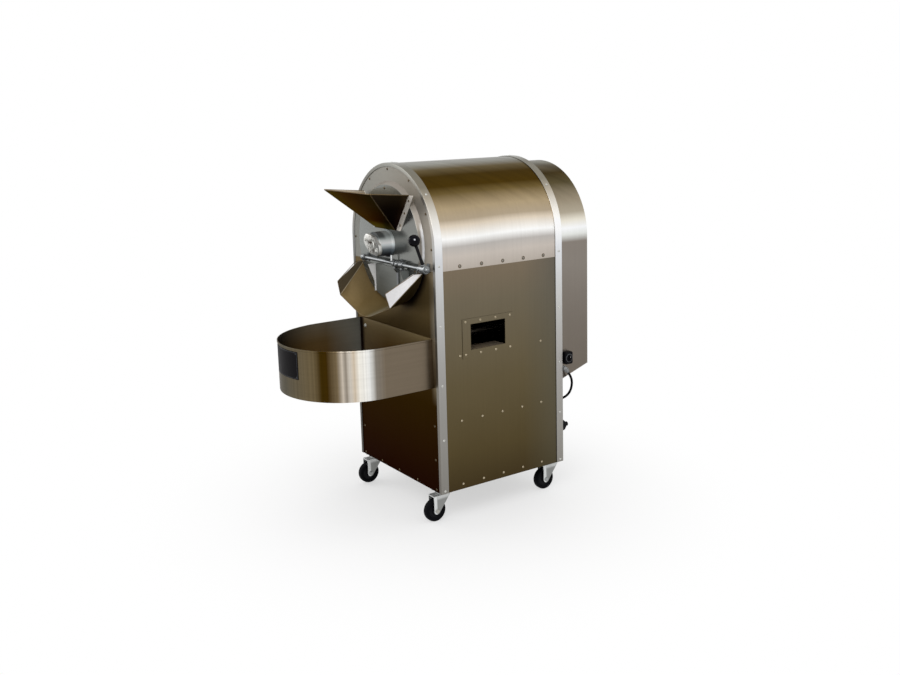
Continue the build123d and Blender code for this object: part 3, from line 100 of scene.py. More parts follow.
def piece(name, verts, faces, slot, material, sharp=35, instead_of=(), body="cabinet"):
    """A mesh in the row frame that rides on a body and may stand for solids."""
    mesh = bpy.data.meshes.new(name)
    mesh.from_pydata([tuple(v) for v in verts], [], faces)
    mesh.validate()
    mesh.update()
    mesh.shade_smooth()
    mesh.set_sharp_from_angle(angle=radians(sharp))
    mesh.materials.append(material)
    obj = add(name, mesh)
    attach(obj, body)
    if instead_of:
        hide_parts(*instead_of)


def join(parts):
    """Several (verts, faces) pairs as one."""
    verts = []
    faces = []
    for more_verts, more_faces in parts:
        base = len(verts)
        verts += more_verts
        faces += [tuple(i + base for i in face) for face in more_faces]
    return verts, faces


def skin(rings, closed=False):
    """Faces between rings of points with the same count; a row that isn't closed gets two caps."""
    count = len(rings[0])
    verts = [Vector(p) for ring in rings for p in ring]
    faces = []
    for i in range(len(rings) if closed else len(rings) - 1):
        low = i * count
        high = (i + 1) % len(rings) * count
        for j in range(count):
            k = (j + 1) % count
            faces.append((low + j, low + k, high + k, high + j))
    if not closed:
        faces.append(tuple(reversed(range(count))))
        faces.append(tuple(range(len(verts) - count, len(verts))))
    return verts, faces


def axes_for(direction):
    """Two unit vectors across a direction."""
    helper = Z if abs(direction.z) < 0.9 else X
    u = helper.cross(direction).normalized()
    return u, direction.cross(u)


def around(count, u, v, turn=0.0):
    """Unit directions round a circle, from u towards v."""
    angles = [turn + 2 * pi * k / count for k in range(count)]
    return [u * cos(a) + v * sin(a) for a in angles]


def arc(radius, start, stop, steps, middle=0.0):
    """(across, along) pairs on an arc between two angles in degrees."""
    angles = [radians(start + (stop - start) * k / steps) for k in range(steps + 1)]
    return [(radius * cos(a), middle + radius * sin(a)) for a in angles]


def lathe(profile, origin, direction, segments=32, closed=False):
    """Profile of (radius, height) pairs turned about a line; a closed one makes a ring."""
    d = direction.normalized()
    sides = around(segments, *axes_for(d))
    rings = [
        [origin + d * height + side * max(radius, POINT) for side in sides]
        for radius, height in profile
    ]
    return skin(rings, closed)


def tube(points, radius, segments=12, closed=False):
    """Round bead along a line of points."""
    points = [Vector(p) for p in points]
    count = len(points)
    rings = []
    side = None
    for i, point in enumerate(points):
        if closed:
            ahead = points[(i + 1) % count] - points[i - 1]
        else:
            ahead = points[min(i + 1, count - 1)] - points[max(i - 1, 0)]
        d = ahead.normalized()
        if side is None:
            side = axes_for(d)[0]
        side = (side - d * side.dot(d)).normalized()
        rings.append([point + way * radius for way in around(segments, side, d.cross(side))])
    return skin(rings, closed)


def rounded(width, height, radius, steps=5):
    """Outline of a rectangle with round corners, as 2-D points."""
    points = []
    for sx, sy, start in ((1, 1, 0), (-1, 1, 90), (-1, -1, 180), (1, -1, 270)):
        for px, py in arc(radius, start, start + 90, steps):
            points.append((sx * (width / 2 - radius) + px, sy * (height / 2 - radius) + py))
    return points


def hexagon(radius, origin, direction, height, turn=0.0):
    """Hex head with a chamfered crown."""
    sides = around(6, *axes_for(direction), turn)
    crown = ((radius, 0), (radius, 0.82), (radius * 0.86, 1), (POINT, 1))
    return skin([[origin + direction * height * rise + side * r for side in sides] for r, rise in crown])


# Material helpers

def tone(*rgb):
    """Linear colour from 0 to 255 values."""
    shares = [v / 255 for v in rgb]
    return [v / 12.92 if v <= 0.04045 else ((v + 0.055) / 1.055) ** 2.4 for v in shares] + [1.0]


class Graph:
    """Shader nodes built step by step; colours are written as 0 to 255 values."""

    def __init__(self, tree):
        self.tree = tree

    def feed(self, socket, value):
        """Link a socket, or set it to a number, vector or colour."""
        if isinstance(value, bpy.types.NodeSocket):
            self.tree.links.new(value, socket)
        else:
            socket.default_value = tone(*value) if socket.type == "RGBA" else value

    def node(self, kind, inputs, **settings):
        """A new node with its settings; inputs go by name or number."""
        node = self.tree.nodes.new("ShaderNode" + kind)
        for name, value in settings.items():
            setattr(node, name, value)
        for key, value in inputs.items():
            self.feed(node.inputs[key], value)
        return node

    def math(self, operation, *values, clamp=False):
        node = self.node("Math", dict(enumerate(values)), operation=operation, use_clamp=clamp)
        return node.outputs[0]

    def plus(self, first, *rest):
        for value in rest:
            first = self.math("ADD", first, value)
        return first

    def minus(self, a, b):
        return self.math("SUBTRACT", a, b)

    def times(self, first, *rest):
        for value in rest:
            first = self.math("MULTIPLY", first, value)
        return first

    def size(self, value):
        return self.math("ABSOLUTE", value)

    def reach(self, a, b):
        """Length of the diagonal over two sides."""
        return self.math("SQRT", self.math("MULTIPLY_ADD", a, a, self.times(b, b)))

    def angle(self, rise, across):
        """Angle above level, in degrees."""
        return self.math("DEGREES", self.math("ARCTAN2", rise, across))

    def span(self, value, low, high, to_low=0.0, to_high=1.0, smooth=False):
        """Map a value from one range to another, clamped."""
        ends = dict(enumerate((value, low, high, to_low, to_high)))
        kind = "SMOOTHSTEP" if smooth else "LINEAR"
        return self.node("MapRange", ends, interpolation_type=kind, clamp=True).outputs[0]

    def seen(self):
        """1 for camera, glossy and transmission rays, 0 for the rest."""
        rays = self.node("LightPath", {}).outputs
        share = self.math("MAXIMUM", rays["Is Camera Ray"], rays["Is Glossy Ray"])
        return self.math("MAXIMUM", share, rays["Is Transmission Ray"])


class Shade(Graph):
    """A material painted in the row frame's own metres."""

    def __init__(self, name, metallic=0.0, specular=0.5):
        self.material = bpy.data.materials.new(name)
        self.material.use_nodes = True
        super().__init__(self.material.node_tree)
        self.shader = self.tree.nodes["Principled BSDF"]
        self.put("Metallic", metallic)
        self.put("Specular IOR Level", specular)
        coords = self.node("TexCoord", {})
        self.place = coords.outputs["Object"]
        self.normal = coords.outputs["Normal"]
        self.x, self.y, self.z = self.node("SeparateXYZ", {0: self.place}).outputs

    def put(self, name, value):
        """Feed one of the shader's own sockets."""
        self.feed(self.shader.inputs[name], value)

    def facing(self):
        """X, Y and Z of the surface's outward direction."""
        return self.node("SeparateXYZ", {0: self.normal}).outputs

    def noise(self, scale, detail=3.0, rough=0.55):
        """Noise with a scale for each axis, in features per metre."""
        place = self.node("VectorMath", {0: self.place, 1: scale}, operation="MULTIPLY").outputs[0]
        inputs = {"Vector": place, "Scale": 1.0, "Detail": detail, "Roughness": rough}
        return self.node("TexNoise", inputs).outputs["Fac"]

    def ripple(self, value, scale):
        """Noise along one value."""
        return self.node("TexNoise", {"W": value, "Scale": scale}, noise_dimensions="1D").outputs["Fac"]

    def sway(self, noise, amount):
        """Noise that swings about zero by half an amount each way."""
        return self.times(self.minus(noise, 0.5), amount)

    def bands(self, value, *stops):
        """Colour by a value, from rising (value, colour) stops."""
        low = stops[0][0]
        high = stops[-1][0]
        node = self.node("ValToRGB", {0: self.span(value, low, high)})
        marks = node.color_ramp.elements
        marks[0].color = tone(*stops[0][1])
        marks[1].color = tone(*stops[-1][1])
        for place, colour in stops[1:-1]:
            marks.new((place - low) / (high - low)).color = tone(*colour)
        return node.outputs[0]

    def mix(self, share, a, b):
        """Colour a where the share is 0, b where it is 1."""
        return self.node("Mix", {0: share, 6: a, 7: b}, data_type="RGBA").outputs[2]

    def gain(self, colour, factor):
        """Colour times a grey factor."""
        return self.node("VectorMath", {0: colour, 3: factor}, operation="SCALE").outputs[0]

    def bump(self, height, strength, distance):
        relief = {"Height": height, "Strength": strength, "Distance": distance}
        self.put("Normal", self.node("Bump", relief).outputs[0])


def brushed(name, along, paint, rough=(0.26, 0.42), grain=0.16, streak=0.1, metallic=1.0, edge=(0.55,) * 3):
    """Brushed sheet: paint gives its colour, and brushing along the named axes goes over it."""
    m = Shade(name, metallic, specular=0.1)
    m.shader.inputs["Specular Tint"].default_value = (*edge, 1)
    fine = m.noise([7 if axis in along else 900 for axis in "XYZ"], 2.0, 0.6)
    broad = m.noise([2 if axis in along else 110 for axis in "XYZ"], 3.0, 0.5)
    cloud = m.noise([5] * 3, 4.0, 0.6)
    factor = m.plus(m.sway(fine, grain), m.sway(broad, streak * 2), m.sway(cloud, 0.16), 1.0)
    m.put("Base Color", m.gain(paint(m), factor))
    m.put("Roughness", m.span(m.plus(fine, m.times(cloud, 0.5)), 0.4, 1.1, *rough))
    m.bump(m.plus(fine, m.times(cloud, 0.3)), 0.12, 0.0002)
    return m.material


def plain(*rgb):
    """Paint of one base colour, warmed a little by broad noise."""
    cool = [v * share for v, share in zip(rgb, (0.94, 0.95, 0.97))]
    warm = [min(255, v * share) for v, share in zip(rgb, (1.05, 1.02, 0.97))]

    def paint(m):
        return m.bands(m.noise([9] * 3, 3.0, 0.6), (0.3, cool), (0.7, warm))
    return paint


# Paints of the arch: painted reflections, with colour stops by the angle above the axis in degrees

ARCH_REFLECTIONS = (
    (-16, (182, 173, 163)), (-6, (200, 191, 182)), (1, (188, 183, 178)), (7, (254, 254, 252)),
    (16, (222, 208, 188)), (20, (178, 162, 138)), (28, (174, 155, 123)), (40, (108, 90, 52)),
    (46, (72, 53, 12)), (57, (68, 50, 10)), (66, (106, 92, 62)), (77, (172, 171, 163)), (90, (190, 189, 183)),
)
HOUSING_REFLECTIONS = (
    (-60, (114, 106, 97)), (-20, (137, 130, 122)), (-3, (138, 130, 122)), (3, (230, 232, 228)),
    (8, (250, 251, 252)), (14, (234, 228, 213)), (20, (178, 168, 149)), (30, (154, 142, 121)),
    (46, (90, 80, 54)), (58, (66, 53, 25)), (70, (104, 95, 77)), (78, (146, 144, 131)), (90, (160, 157, 147)),
)
TRIM_SIDE_REFLECTIONS = (
    (-72, (136, 133, 127)), (-57, (163, 161, 158)), (-40, (188, 188, 186)), (-7, (218, 220, 223)),
    (9, (250, 250, 249)), (20, (232, 228, 220)), (36, (176, 167, 151)), (46, (132, 126, 112)),
    (70, (124, 121, 110)), (90, (178, 178, 173)),
)
TRIM_FACE_REFLECTIONS = (
    (-72, (120, 116, 110)), (-57, (130, 127, 119)), (-20, (136, 134, 128)), (0, (182, 182, 181)),
    (18, (190, 185, 176)), (40, (150, 147, 139)), (90, (138, 138, 132)),
)
SHEEN_SLANT = 0.39  # metres along Y for each radian about the arch


def arch_bands(m, stops, axis_z, wander=7):
    """Painted reflection bands by the angle about the arch, the same on both sides, that wander by some
    degrees.
    """
    angle = m.angle(m.minus(m.z, axis_z), m.size(m.x))
    return m.bands(m.plus(angle, m.sway(m.noise([1.5] * 3, 1.0, 0.5), wander)), *stops)


def by_arch(stops, axis_z):
    """Painted reflections by the angle about the arch, with slanting painted sheen marks on its upper part.
    """
    def paint(m):
        rise = m.minus(m.z, axis_z)
        slant = m.math("MULTIPLY_ADD", m.math("ARCTAN2", rise, m.x), SHEEN_SLANT, m.y)
        # Painted sheen marks slanting across the arch's upper part.
        sheen_marks = m.sway(m.ripple(slant, 13.0), m.span(rise, 0.12, 0.22, 0.0, 0.5))
        return m.gain(arch_bands(m, stops, axis_z), m.plus(sheen_marks, 1.0))
    return paint


def housing_paint(m):
    """Painted reflections in arch bands round the drive housing; its flat back plain, brushed upright."""
    lines = m.span(m.noise((420, 420, 4), 2.0, 0.6), 0.3, 0.7, 0.93, 1.07)
    flat = m.bands(
        m.z, (0.47, (120, 112, 102)), (0.9, (134, 127, 118)), (1.2, (150, 144, 135)),
        (1.515, (166, 161, 152)),
    )
    back = m.span(m.size(m.facing()[1]), 0.4, 0.6)
    return m.mix(back, by_arch(HOUSING_REFLECTIONS, DRIVE_AXIS)(m), m.gain(flat, lines))


def trim_paint(m):
    """Silver angle with painted reflections: side leg bright by the arch's shoulder and lighter towards the
    rear, face leg greyer and darker towards the left.
    """
    side = m.gain(arch_bands(m, TRIM_SIDE_REFLECTIONS, AXIS, 3), m.span(m.y, -0.15, 0.5, 0.97, 1.12))
    face = m.gain(arch_bands(m, TRIM_FACE_REFLECTIONS, AXIS, 3), m.span(m.x, -0.2, 0.1, 0.55, 1.0))
    return m.mix(m.span(m.size(m.facing()[1]), 0.4, 0.8), side, face)


# Paints of the panels and the end plate

def side_paint(m):
    """Side panel whose brown is a painted reflection: darker towards the foot, a little greyer along its rear
    edge.
    """
    front = m.bands(
        m.z, (BASE, (68, 56, 34)), (0.3, (84, 72, 46)), (0.6, (98, 87, 63)), (0.95, (112, 103, 85)),
        (COVER_Z, (124, 111, 93)),
    )
    rear = m.bands(
        m.z, (BASE, (80, 74, 56)), (0.3, (88, 82, 66)), (0.6, (94, 89, 74)), (COVER_Z, (101, 97, 88)),
    )
    return m.mix(m.span(m.y, 0.3, 0.52), front, rear)


def front_panel_paint(m):
    """Dark lower front with painted shade, near black brown under the tray, browner above it; a painted
    shadow round the chute and a painted light band at the right.
    """
    base = m.bands(
        m.z, (BASE, (32, 11, 4)), (0.26, (37, 18, 4)), (0.52, (45, 29, 4)), (0.68, (60, 44, 20)),
        (0.9, (110, 92, 57)), (COVER_Z, (104, 88, 58)),
    )
    reach = m.reach(m.minus(m.z, AXIS), m.x)
    # Painted shadow in a band round the chute, just outside the end plate's rim.
    painted_chute_shadow = m.times(m.span(reach, 0.276, 0.325, 1.0, 0.0, True), m.span(m.x, 0.05, 0.16))
    # Painted light band beside the right trim, from about the tray's height up.
    painted_light_strip = m.bands(
        m.z, (0.6, (128, 116, 92)), (0.74, (176, 164, 142)), (0.88, (180, 170, 150)), (1.0, (140, 128, 106)),
    )
    edge = m.times(m.span(m.x, 0.29, 0.335), m.span(m.z, 0.52, 0.62))
    m.put("Metallic", m.span(m.z, 0.6, 0.9, 1.0, 0.55))
    return m.mix(edge, m.mix(painted_chute_shadow, base, (14, 6, 12)), painted_light_strip)


def front_plate_paint(m):
    """Light grey arch plate, lightest at the right, where light is painted on."""
    return m.bands(
        m.x, (-HALF, (142, 142, 136)), (-0.035, (150, 147, 139)), (0.175, (146, 140, 130)),
        (HALF, (172, 164, 152)),
    )


def disc_paint(m):
    """Blue-grey end plate with painted shade low down, and a sloped rim with a painted highlight at the
    right.
    """
    rise = m.minus(m.z, AXIS)
    reach = m.reach(rise, m.x)
    face = m.bands(m.x, (-0.26, (150, 153, 150)), (0.0, (142, 144, 141)), (0.26, (136, 137, 133)))
    # Painted shade: the face darkens low down.
    face = m.gain(face, m.span(rise, -0.26, -0.02, 0.42, 1.0))
    # Painted highlight on the rim's outer slope, at the right about the axis's height.
    level = m.times(m.span(rise, -0.09, -0.04), m.span(rise, 0.11, 0.05))
    glint = m.times(m.span(m.x, 0.2, 0.25), m.span(reach, 0.262, 0.266), level)
    rim = m.span(reach, DISC_FACE_R - 0.001, DISC_FACE_R + 0.002)
    m.put("Metallic", m.span(rim, 0, 1, 0.8, 0.2))
    return m.mix(rim, face, m.mix(glint, (146, 139, 130), (244, 245, 246)))


# Paints of the tray, hopper, chute and door

# Tray wall stops by angle in degrees, from its right side round to the nose: painted reflections
TRAY_REFLECTION_BANDS = (
    (0, (116, 104, 88)), (8, (132, 125, 115)), (13, (232, 232, 229)), (21, (240, 236, 226)),
    (25, (204, 188, 166)), (28, (214, 206, 194)), (31, (150, 140, 127)), (34, (194, 183, 168)),
    (38, (118, 102, 76)), (46, (58, 40, 6)), (51, (60, 43, 8)), (57, (104, 90, 64)), (90, (98, 92, 78)),
)
# Painted highlight streaking across the wall's reflection bands, by angle.
TRAY_HIGHLIGHT_STREAKS = radians(26)  # streaks to a degree, from 26 to a radian


def tray_paint(m):
    """Outside in painted reflection bands with painted highlight streaking; inside brown with painted shade
    and light.
    """
    ahead = m.math("MINIMUM", m.minus(m.y, TRAY_Y), 0.0)
    across = m.size(m.x)
    angle = m.angle(m.times(ahead, -1.0), across)
    highlight_streaks = m.span(m.ripple(angle, TRAY_HIGHLIGHT_STREAKS), 0.3, 0.7, 0.9, 1.1)
    outside = m.gain(m.bands(angle, *TRAY_REFLECTION_BANDS), highlight_streaks)
    inside = m.bands(m.z, (TRAY_LOW, (112, 84, 40)), (0.728, (98, 78, 46)), (TRAY_RIM, (100, 92, 78)))
    # Painted shade: the inside darkens towards the nose.
    inside = m.gain(inside, m.span(m.y, -0.62, -0.44, 0.06, 1.0))
    # Painted light: a lighter patch in the inside's left rear corner.
    corner = m.times(m.span(m.y, -0.34, -0.18), m.span(m.x, -0.2, -0.26, 0.0, 0.9))
    inside = m.mix(corner, inside, (132, 133, 126))
    # Rear wall: painted shade low down, lighter towards the left as painted light, then a dark painted-shade
    # end at the far left.
    rear = m.bands(m.z, (TRAY_LOW, (58, 31, 8)), (0.7065, (78, 56, 24)), (TRAY_RIM, (108, 92, 58)))
    rear = m.mix(m.span(m.x, -0.28, -0.06, 0.8, 0.0), rear, (118, 102, 74))
    rear = m.mix(m.span(m.x, -0.268, -0.29), rear, (26, 15, 11))
    inside = m.mix(m.span(m.y, FRONT_FACE - 0.01, FRONT_FACE - 0.004), inside, rear)
    shell = m.span(m.reach(across, ahead), TRAY_R - 0.0016, TRAY_R - 0.0006)
    m.put("Metallic", m.span(shell, 0, 1, 0.25, 1.0))
    return m.mix(shell, inside, outside)


def hopper_paint(m):
    """Painted reflections: front plate dark brown, darker to the right and lighter low down; leaning sides
    darker still outside; inside mid brown, lighter towards the top; flanges near white.
    """
    nx, ny, nz = m.facing()
    front = m.bands(m.x, (-0.2, (84, 70, 38)), (-0.08, (74, 51, 16)), (0.04, (60, 35, 5)), (0.2, (46, 28, 5)))
    front = m.mix(m.span(m.z, 1.296, 1.266), front, (112, 98, 70))
    side = m.bands(m.x, (0.08, (36, 24, 26)), (0.152, (40, 30, 24)), (0.2, (70, 58, 44)))
    inner = m.bands(m.z, (1.26, (88, 76, 60)), (1.396, (140, 126, 104)), (1.43, (206, 196, 178)))
    outer = m.span(m.times(nx, m.math("SIGN", m.x)), 0.4, 0.6)
    ahead = m.times(m.span(ny, -0.35, -0.5), m.span(nz, 0.2, 0.1))
    # Painted reflection: the flange on the end plate near white.
    flange = m.span(m.y, DISC_FACE - 0.0026, DISC_FACE - 0.0022)
    shown = m.math("SUBTRACT", m.math("MAXIMUM", outer, ahead), flange, clamp=True)
    m.put("Metallic", m.span(shown, 0, 1, 0.3, 1.0))
    sheet = m.mix(ahead, m.mix(outer, inner, side), front)
    return m.mix(flange, sheet, (255, 248, 238))


def chute_paint(m):
    """Painted reflections: apron tan with a lighter band right of the middle; side lips painted bright
    outside and dark inside.
    """
    apron = m.bands(
        m.x, (-0.22, (136, 116, 80)), (-0.106, (122, 102, 64)), (-0.0072, (106, 90, 55)),
        (0.046, (136, 131, 112)), (0.1068, (106, 92, 62)), (0.16, (96, 82, 54)),
    )
    fold = m.math("MULTIPLY_ADD", m.plus(m.y, 0.3005), 0.926, 0.9525)
    lip = m.span(m.minus(m.z, fold), 0.0, 0.0015)
    outer = m.span(m.times(m.facing()[0], m.math("SIGN", m.x)), -0.1, 0.1)
    bright = m.bands(m.y, (-0.31, (222, 221, 222)), (-0.17, (250, 248, 248)))
    sheet = m.span(lip, 0, 1, 0.25, 0.05)
    m.put("Metallic", m.math("MULTIPLY_ADD", m.times(lip, outer), 0.75, sheet))
    return m.mix(lip, apron, m.mix(outer, (112, 100, 80), bright))


def door_paint(m):
    """Grey door, darker low down; the side of its left folded edge that faces right is a painted highlight,
    near white.
    """
    face = m.bands(m.z, (0.94, (96, 98, 93)), (1.09, (128, 130, 126)))
    fold = m.bands(m.x, (-0.05, (255, 255, 255)), (0.05, (128, 132, 130)))
    side = m.span(m.facing()[0], 0.6, 0.8)
    m.put("Metallic", m.span(side, 0, 1, 0.5, 0.0))
    return m.mix(side, face, fold)


# Paints of the bearing, rod, screws and forks

# Barrel stops by angle in degrees, painted reflections: 0 at the right, 90 on top
BARREL_REFLECTION_BANDS = (
    (-180, (150, 155, 155)), (-110, (84, 89, 92)), (-50, (62, 68, 74)), (-22, (128, 138, 145)),
    (0, (244, 250, 252)), (10, (255, 255, 255)), (30, (186, 193, 192)), (46, (146, 152, 151)),
    (75, (170, 176, 176)), (115, (140, 148, 151)), (150, (170, 176, 176)), (180, (150, 155, 155)),
)
STOP_PIN_X = 0.06
STOP_PIN_FOOT = 1.124


def barrel_paint(m):
    """Painted reflections: light and dark bands along the bearing barrel, darkest on top of its front end."""
    rise = m.minus(m.z, AXIS)
    # Painted dark reflection on top of the barrel's front end.
    dark = m.times(m.span(m.y, -0.216, -0.2, 1.0, 0.0, True), m.span(rise, 0.022, 0.036))
    return m.gain(m.bands(m.angle(rise, m.x), *BARREL_REFLECTION_BANDS), m.span(dark, 0, 1, 1.0, 0.28))


def cap_paint(m):
    """Painted light: bright at the upper left lobe, dull at the lower right, light on the edge that faces
    right; dark grease about the middle.
    """
    metal = m.bands(
        m.x, (-0.05, (242, 242, 238)), (-0.015, (206, 205, 199)), (0.005, (160, 160, 155)),
        (0.05, (118, 118, 115)),
    )
    patches = m.span(m.noise([52] * 3, 1.5, 0.5), 0.45, 0.55)
    grease = m.times(patches, m.span(m.reach(m.minus(m.z, AXIS), m.x), 0.044, 0.028))
    edge = m.span(m.facing()[0], 0.35, 0.75)
    return m.mix(edge, m.mix(grease, metal, (62, 53, 45)), (222, 222, 218))


def rod_paint(m):
    """Round fittings with painted light and shade: light where they face up, dark underneath; a painted
    highlight on the stop pin.
    """
    body = m.bands(
        m.facing()[2], (-1.0, (58, 60, 60)), (-0.3, (84, 86, 86)), (0.0, (126, 129, 130)),
        (0.32, (182, 185, 187)), (0.64, (150, 153, 154)), (1.0, (112, 115, 116)),
    )
    beside = m.span(m.size(m.minus(m.x, STOP_PIN_X)), 0.007, 0.005)
    pin = m.times(beside, m.span(m.z, STOP_PIN_FOOT, STOP_PIN_FOOT + 0.002))
    return m.mix(pin, body, (244, 246, 247))


def screw_paint(m):
    """Screw heads: warm on the side panels, darker on the cover's edge as painted shade, brighter on trim and
    front.
    """
    panel = m.bands(m.z, (COVER_Z, (190, 177, 152)), (COVER_Z + 0.004, (150, 146, 138)))
    return m.mix(m.span(m.size(m.minus(m.y, MIDDLE)), 0.29, 0.31), panel, (216, 216, 211))


def fork_zinc(corner):
    """Pressed fork with painted highlights: a light band down the front of each cheek and along the crown,
    greyer behind.
    """
    axle_y = joint_at[f"roll_{corner}"].y

    def paint(m):
        painted_light_strip = m.span(m.y, axle_y + 0.003, axle_y - 0.002)
        crown = m.span(m.z, 0.098, 0.108, 0.0, 0.7)
        return m.mix(m.math("MAXIMUM", painted_light_strip, crown), (146, 147, 145), (222, 224, 223))
    return brushed(f"fork_zinc_{corner}", "Z", paint, grain=0.1, metallic=0.8)


# Metals; their brown, tan and olive tones are painted reflection

steel_cover = brushed("cover_steel", "XZ", by_arch(ARCH_REFLECTIONS, AXIS), grain=0.1, streak=0.05)
steel_housing = brushed("drive_housing_steel", "XZ", housing_paint, grain=0.1, streak=0.05)
# Side panels, window frame and window edge: their brown is a painted reflection.
side_brown_sheet = brushed("side_panel_brown_reflection", "Z", side_paint, (0.3, 0.46), grain=0.12, streak=0.05)
dark_front = brushed("front_panel_dark", "Z", front_panel_paint, grain=0.14, edge=(0.5,) * 3)
grey_front = brushed("front_plate_grey", "X", front_plate_paint, grain=0.1, streak=0.05, metallic=0.4)
disc_steel = brushed("end_plate_steel", "X", disc_paint, (0.14, 0.24), grain=0.1, streak=0.06, metallic=0.8)
silver = brushed("trim_silver", "Z", trim_paint, (0.3, 0.45), grain=0.08, streak=0.05, edge=(0.8,) * 3)
tray_steel = brushed("tray_steel", "XY", tray_paint)
floor_steel = brushed("tray_floor_steel", "X", plain(112, 94, 70), streak=0.12, metallic=0.4)
hopper_steel = brushed("hopper_steel", "X", hopper_paint, edge=(0.35, 0.35, 0.24))
chute_steel = brushed("chute_steel", "X", chute_paint, metallic=0.25)
hem_steel = brushed("hem_steel", "X", plain(150, 138, 116))
fold_steel = brushed("chute_fold_steel", "Y", plain(196, 184, 158), metallic=0.4)
edge_steel = brushed("folded_edge_steel", "X", plain(112, 96, 70), metallic=0.7)
housing_cast = brushed("bearing_housing_steel", "Y", barrel_paint, grain=0.1, metallic=0.05)
cap_steel = brushed("bearing_cap_steel", "X", cap_paint, (0.24, 0.4), metallic=0.5)
galvanized = brushed("galvanized_fittings", "X", rod_paint, (0.22, 0.38), grain=0.1, metallic=0.6)
door_steel = brushed("door_steel", "X", door_paint, (0.24, 0.4), metallic=0.5)
zinc = brushed("zinc_plate", "Z", plain(172, 174, 174), grain=0.1, metallic=0.8)
screw_steel = brushed("screw_steel", "X", screw_paint, (0.2, 0.35), grain=0.06, metallic=0.7)
dull_screw = brushed("dull_screw_steel", "X", plain(104, 92, 74), (0.3, 0.45), grain=0.06)
inner_steel = brushed("inner_steel", "Y", plain(112, 108, 100), (0.36, 0.55))
shelf_steel = brushed("shelf_steel", "Y", plain(120, 108, 92), (0.36, 0.55), metallic=0.2)
drum_steel = brushed("drum_steel", "Y", plain(92, 84, 72), (0.34, 0.55))

# Castings, paint, plastic and rubber

BALL_GLINT = (0.3435, -0.2455, 1.2475)


def cast(name, rgb, rough, size, strength, specular=0.5, metallic=0.0):
    """Cast, painted or moulded surface with a fine grain and slight mottling."""
    m = Shade(name, metallic, specular)
    speck = m.noise([size] * 3, 4.0, 0.6)
    cloud = m.noise([14] * 3, 3.0, 0.6)
    low = [v * 0.82 for v in rgb]
    high = [min(255, v * 1.14) for v in rgb]
    mottle = m.plus(m.times(speck, 0.4), m.times(cloud, 0.6))
    m.put("Base Color", m.bands(mottle, (0.3, low), (0.7, high)))
    m.put("Roughness", m.span(m.plus(speck, cloud), 0.7, 1.3, *rough))
    m.bump(speck, strength, 0.0004)
    return m.material


def ball_gloss():
    """Black ball with a small painted highlight on the side towards the right front."""
    m = Shade("knob_black", specular=0.06)
    dx, dy, dz = [m.minus(value, spot) for value, spot in zip((m.x, m.y, m.z), BALL_GLINT)]
    glint = m.span(m.reach(m.reach(dx, dy), dz), 0.0012, 0.005, 1.0, 0.0, True)
    m.put("Base Color", m.mix(glint, (11, 9, 16), (236, 236, 242)))
    m.put("Roughness", m.span(m.noise([300] * 3), 0.3, 0.7, 0.06, 0.14))
    return m.material


black_gloss = ball_gloss()
dark_steel = cast("dark_steel_paint", (30, 29, 31), (0.35, 0.55), 900, 0.15, 0.08)
motor_paint = cast("motor_paint", (92, 112, 132), (0.35, 0.55), 500, 0.2)
cast_iron = cast("cast_iron", (112, 114, 116), (0.45, 0.65), 600, 0.35, metallic=0.6)
black_plastic = cast("black_plastic", (12, 11, 15), (0.36, 0.52), 1400, 0.15, 0.06)
grey_plastic = cast("grey_plastic", (84, 86, 90), (0.36, 0.52), 1200, 0.12, 0.2)
gland_grey = cast("gland_grey", (150, 152, 152), (0.36, 0.52), 1200, 0.12, 0.3)
rubber = cast("wheel_rubber", (13, 13, 16), (0.48, 0.7), 700, 0.2, 0.04)
sheath = cast("lead_sheath", (13, 13, 15), (0.42, 0.6), 1000, 0.12, 0.06)
plate_black = cast("blank_plate_black", (19, 17, 19), (0.4, 0.55), 900, 0.06, 0.04)
pointer_white = cast("pointer_white", (225, 225, 220), (0.4, 0.5), 900, 0.05)
hub_grey = cast("wheel_hub", (24, 24, 27), (0.4, 0.55), 900, 0.12, 0.08)

# Finish of every solid that stays
FINISH = {
    dark_steel: ["base_frame", "corner_posts", "gas_manifold", "drive_chain"],
    inner_steel: ["base_plate", "rear_plate", "burner_tubes", "front_bearing", "drum_shaft"],
    drum_steel: ["drum_shell", "drum_rear_head", "drum_flights", "drum_front_spider"],
    cast_iron: ["drum_sprocket", "motor_sprocket", "rear_bearing"],
    galvanized: ["rod_brackets", "door_rod", "door_straps"],
    side_brown_sheet: ["side_panel_right", "side_panel_left", "window_frame"],
    zinc: ["caster_plates"] + [f"caster_axle_{corner}" for corner in CORNERS],
    grey_front: ["front_plate"], dark_front: ["front_panel"], steel_cover: ["top_cover"],
    disc_steel: ["drum_end_plate"], housing_cast: ["bearing_housing"], hopper_steel: ["hopper"],
    chute_steel: ["discharge_chute"], door_steel: ["door_plate"], floor_steel: ["tray_floor"],
    steel_housing: ["rear_housing"], motor_paint: ["gearmotor"], black_plastic: ["switch_body"],
}
for corner in CORNERS:
    FINISH[fork_zinc(corner)] = [f"caster_fork_{corner}"]
for material, names in FINISH.items():
    for name in names:
        nodes[name].data.materials.clear()
        nodes[name].data.materials.append(material)

# Camera at the photograph's place
azimuth = radians(56.01)
elevation = radians(9.99)
roll = radians(-1.54)
back = Vector((sin(azimuth) * cos(elevation), -cos(azimuth) * cos(elevation), sin(elevation)))
aim = back.to_track_quat("Z", "Y").to_matrix().to_4x4() @ Matrix.Rotation(roll, 4, "Z")
lens = bpy.data.cameras.new("camera")
lens.lens = 39.31
lens.sensor_width = 36.0
lens.shift_y = -0.0583
lens.clip_end = 200.0
camera = add("camera", lens)
camera.matrix_world = Matrix.Translation((3.696, -2.3395, 1.753)) @ aim
bpy.context.scene.camera = camera

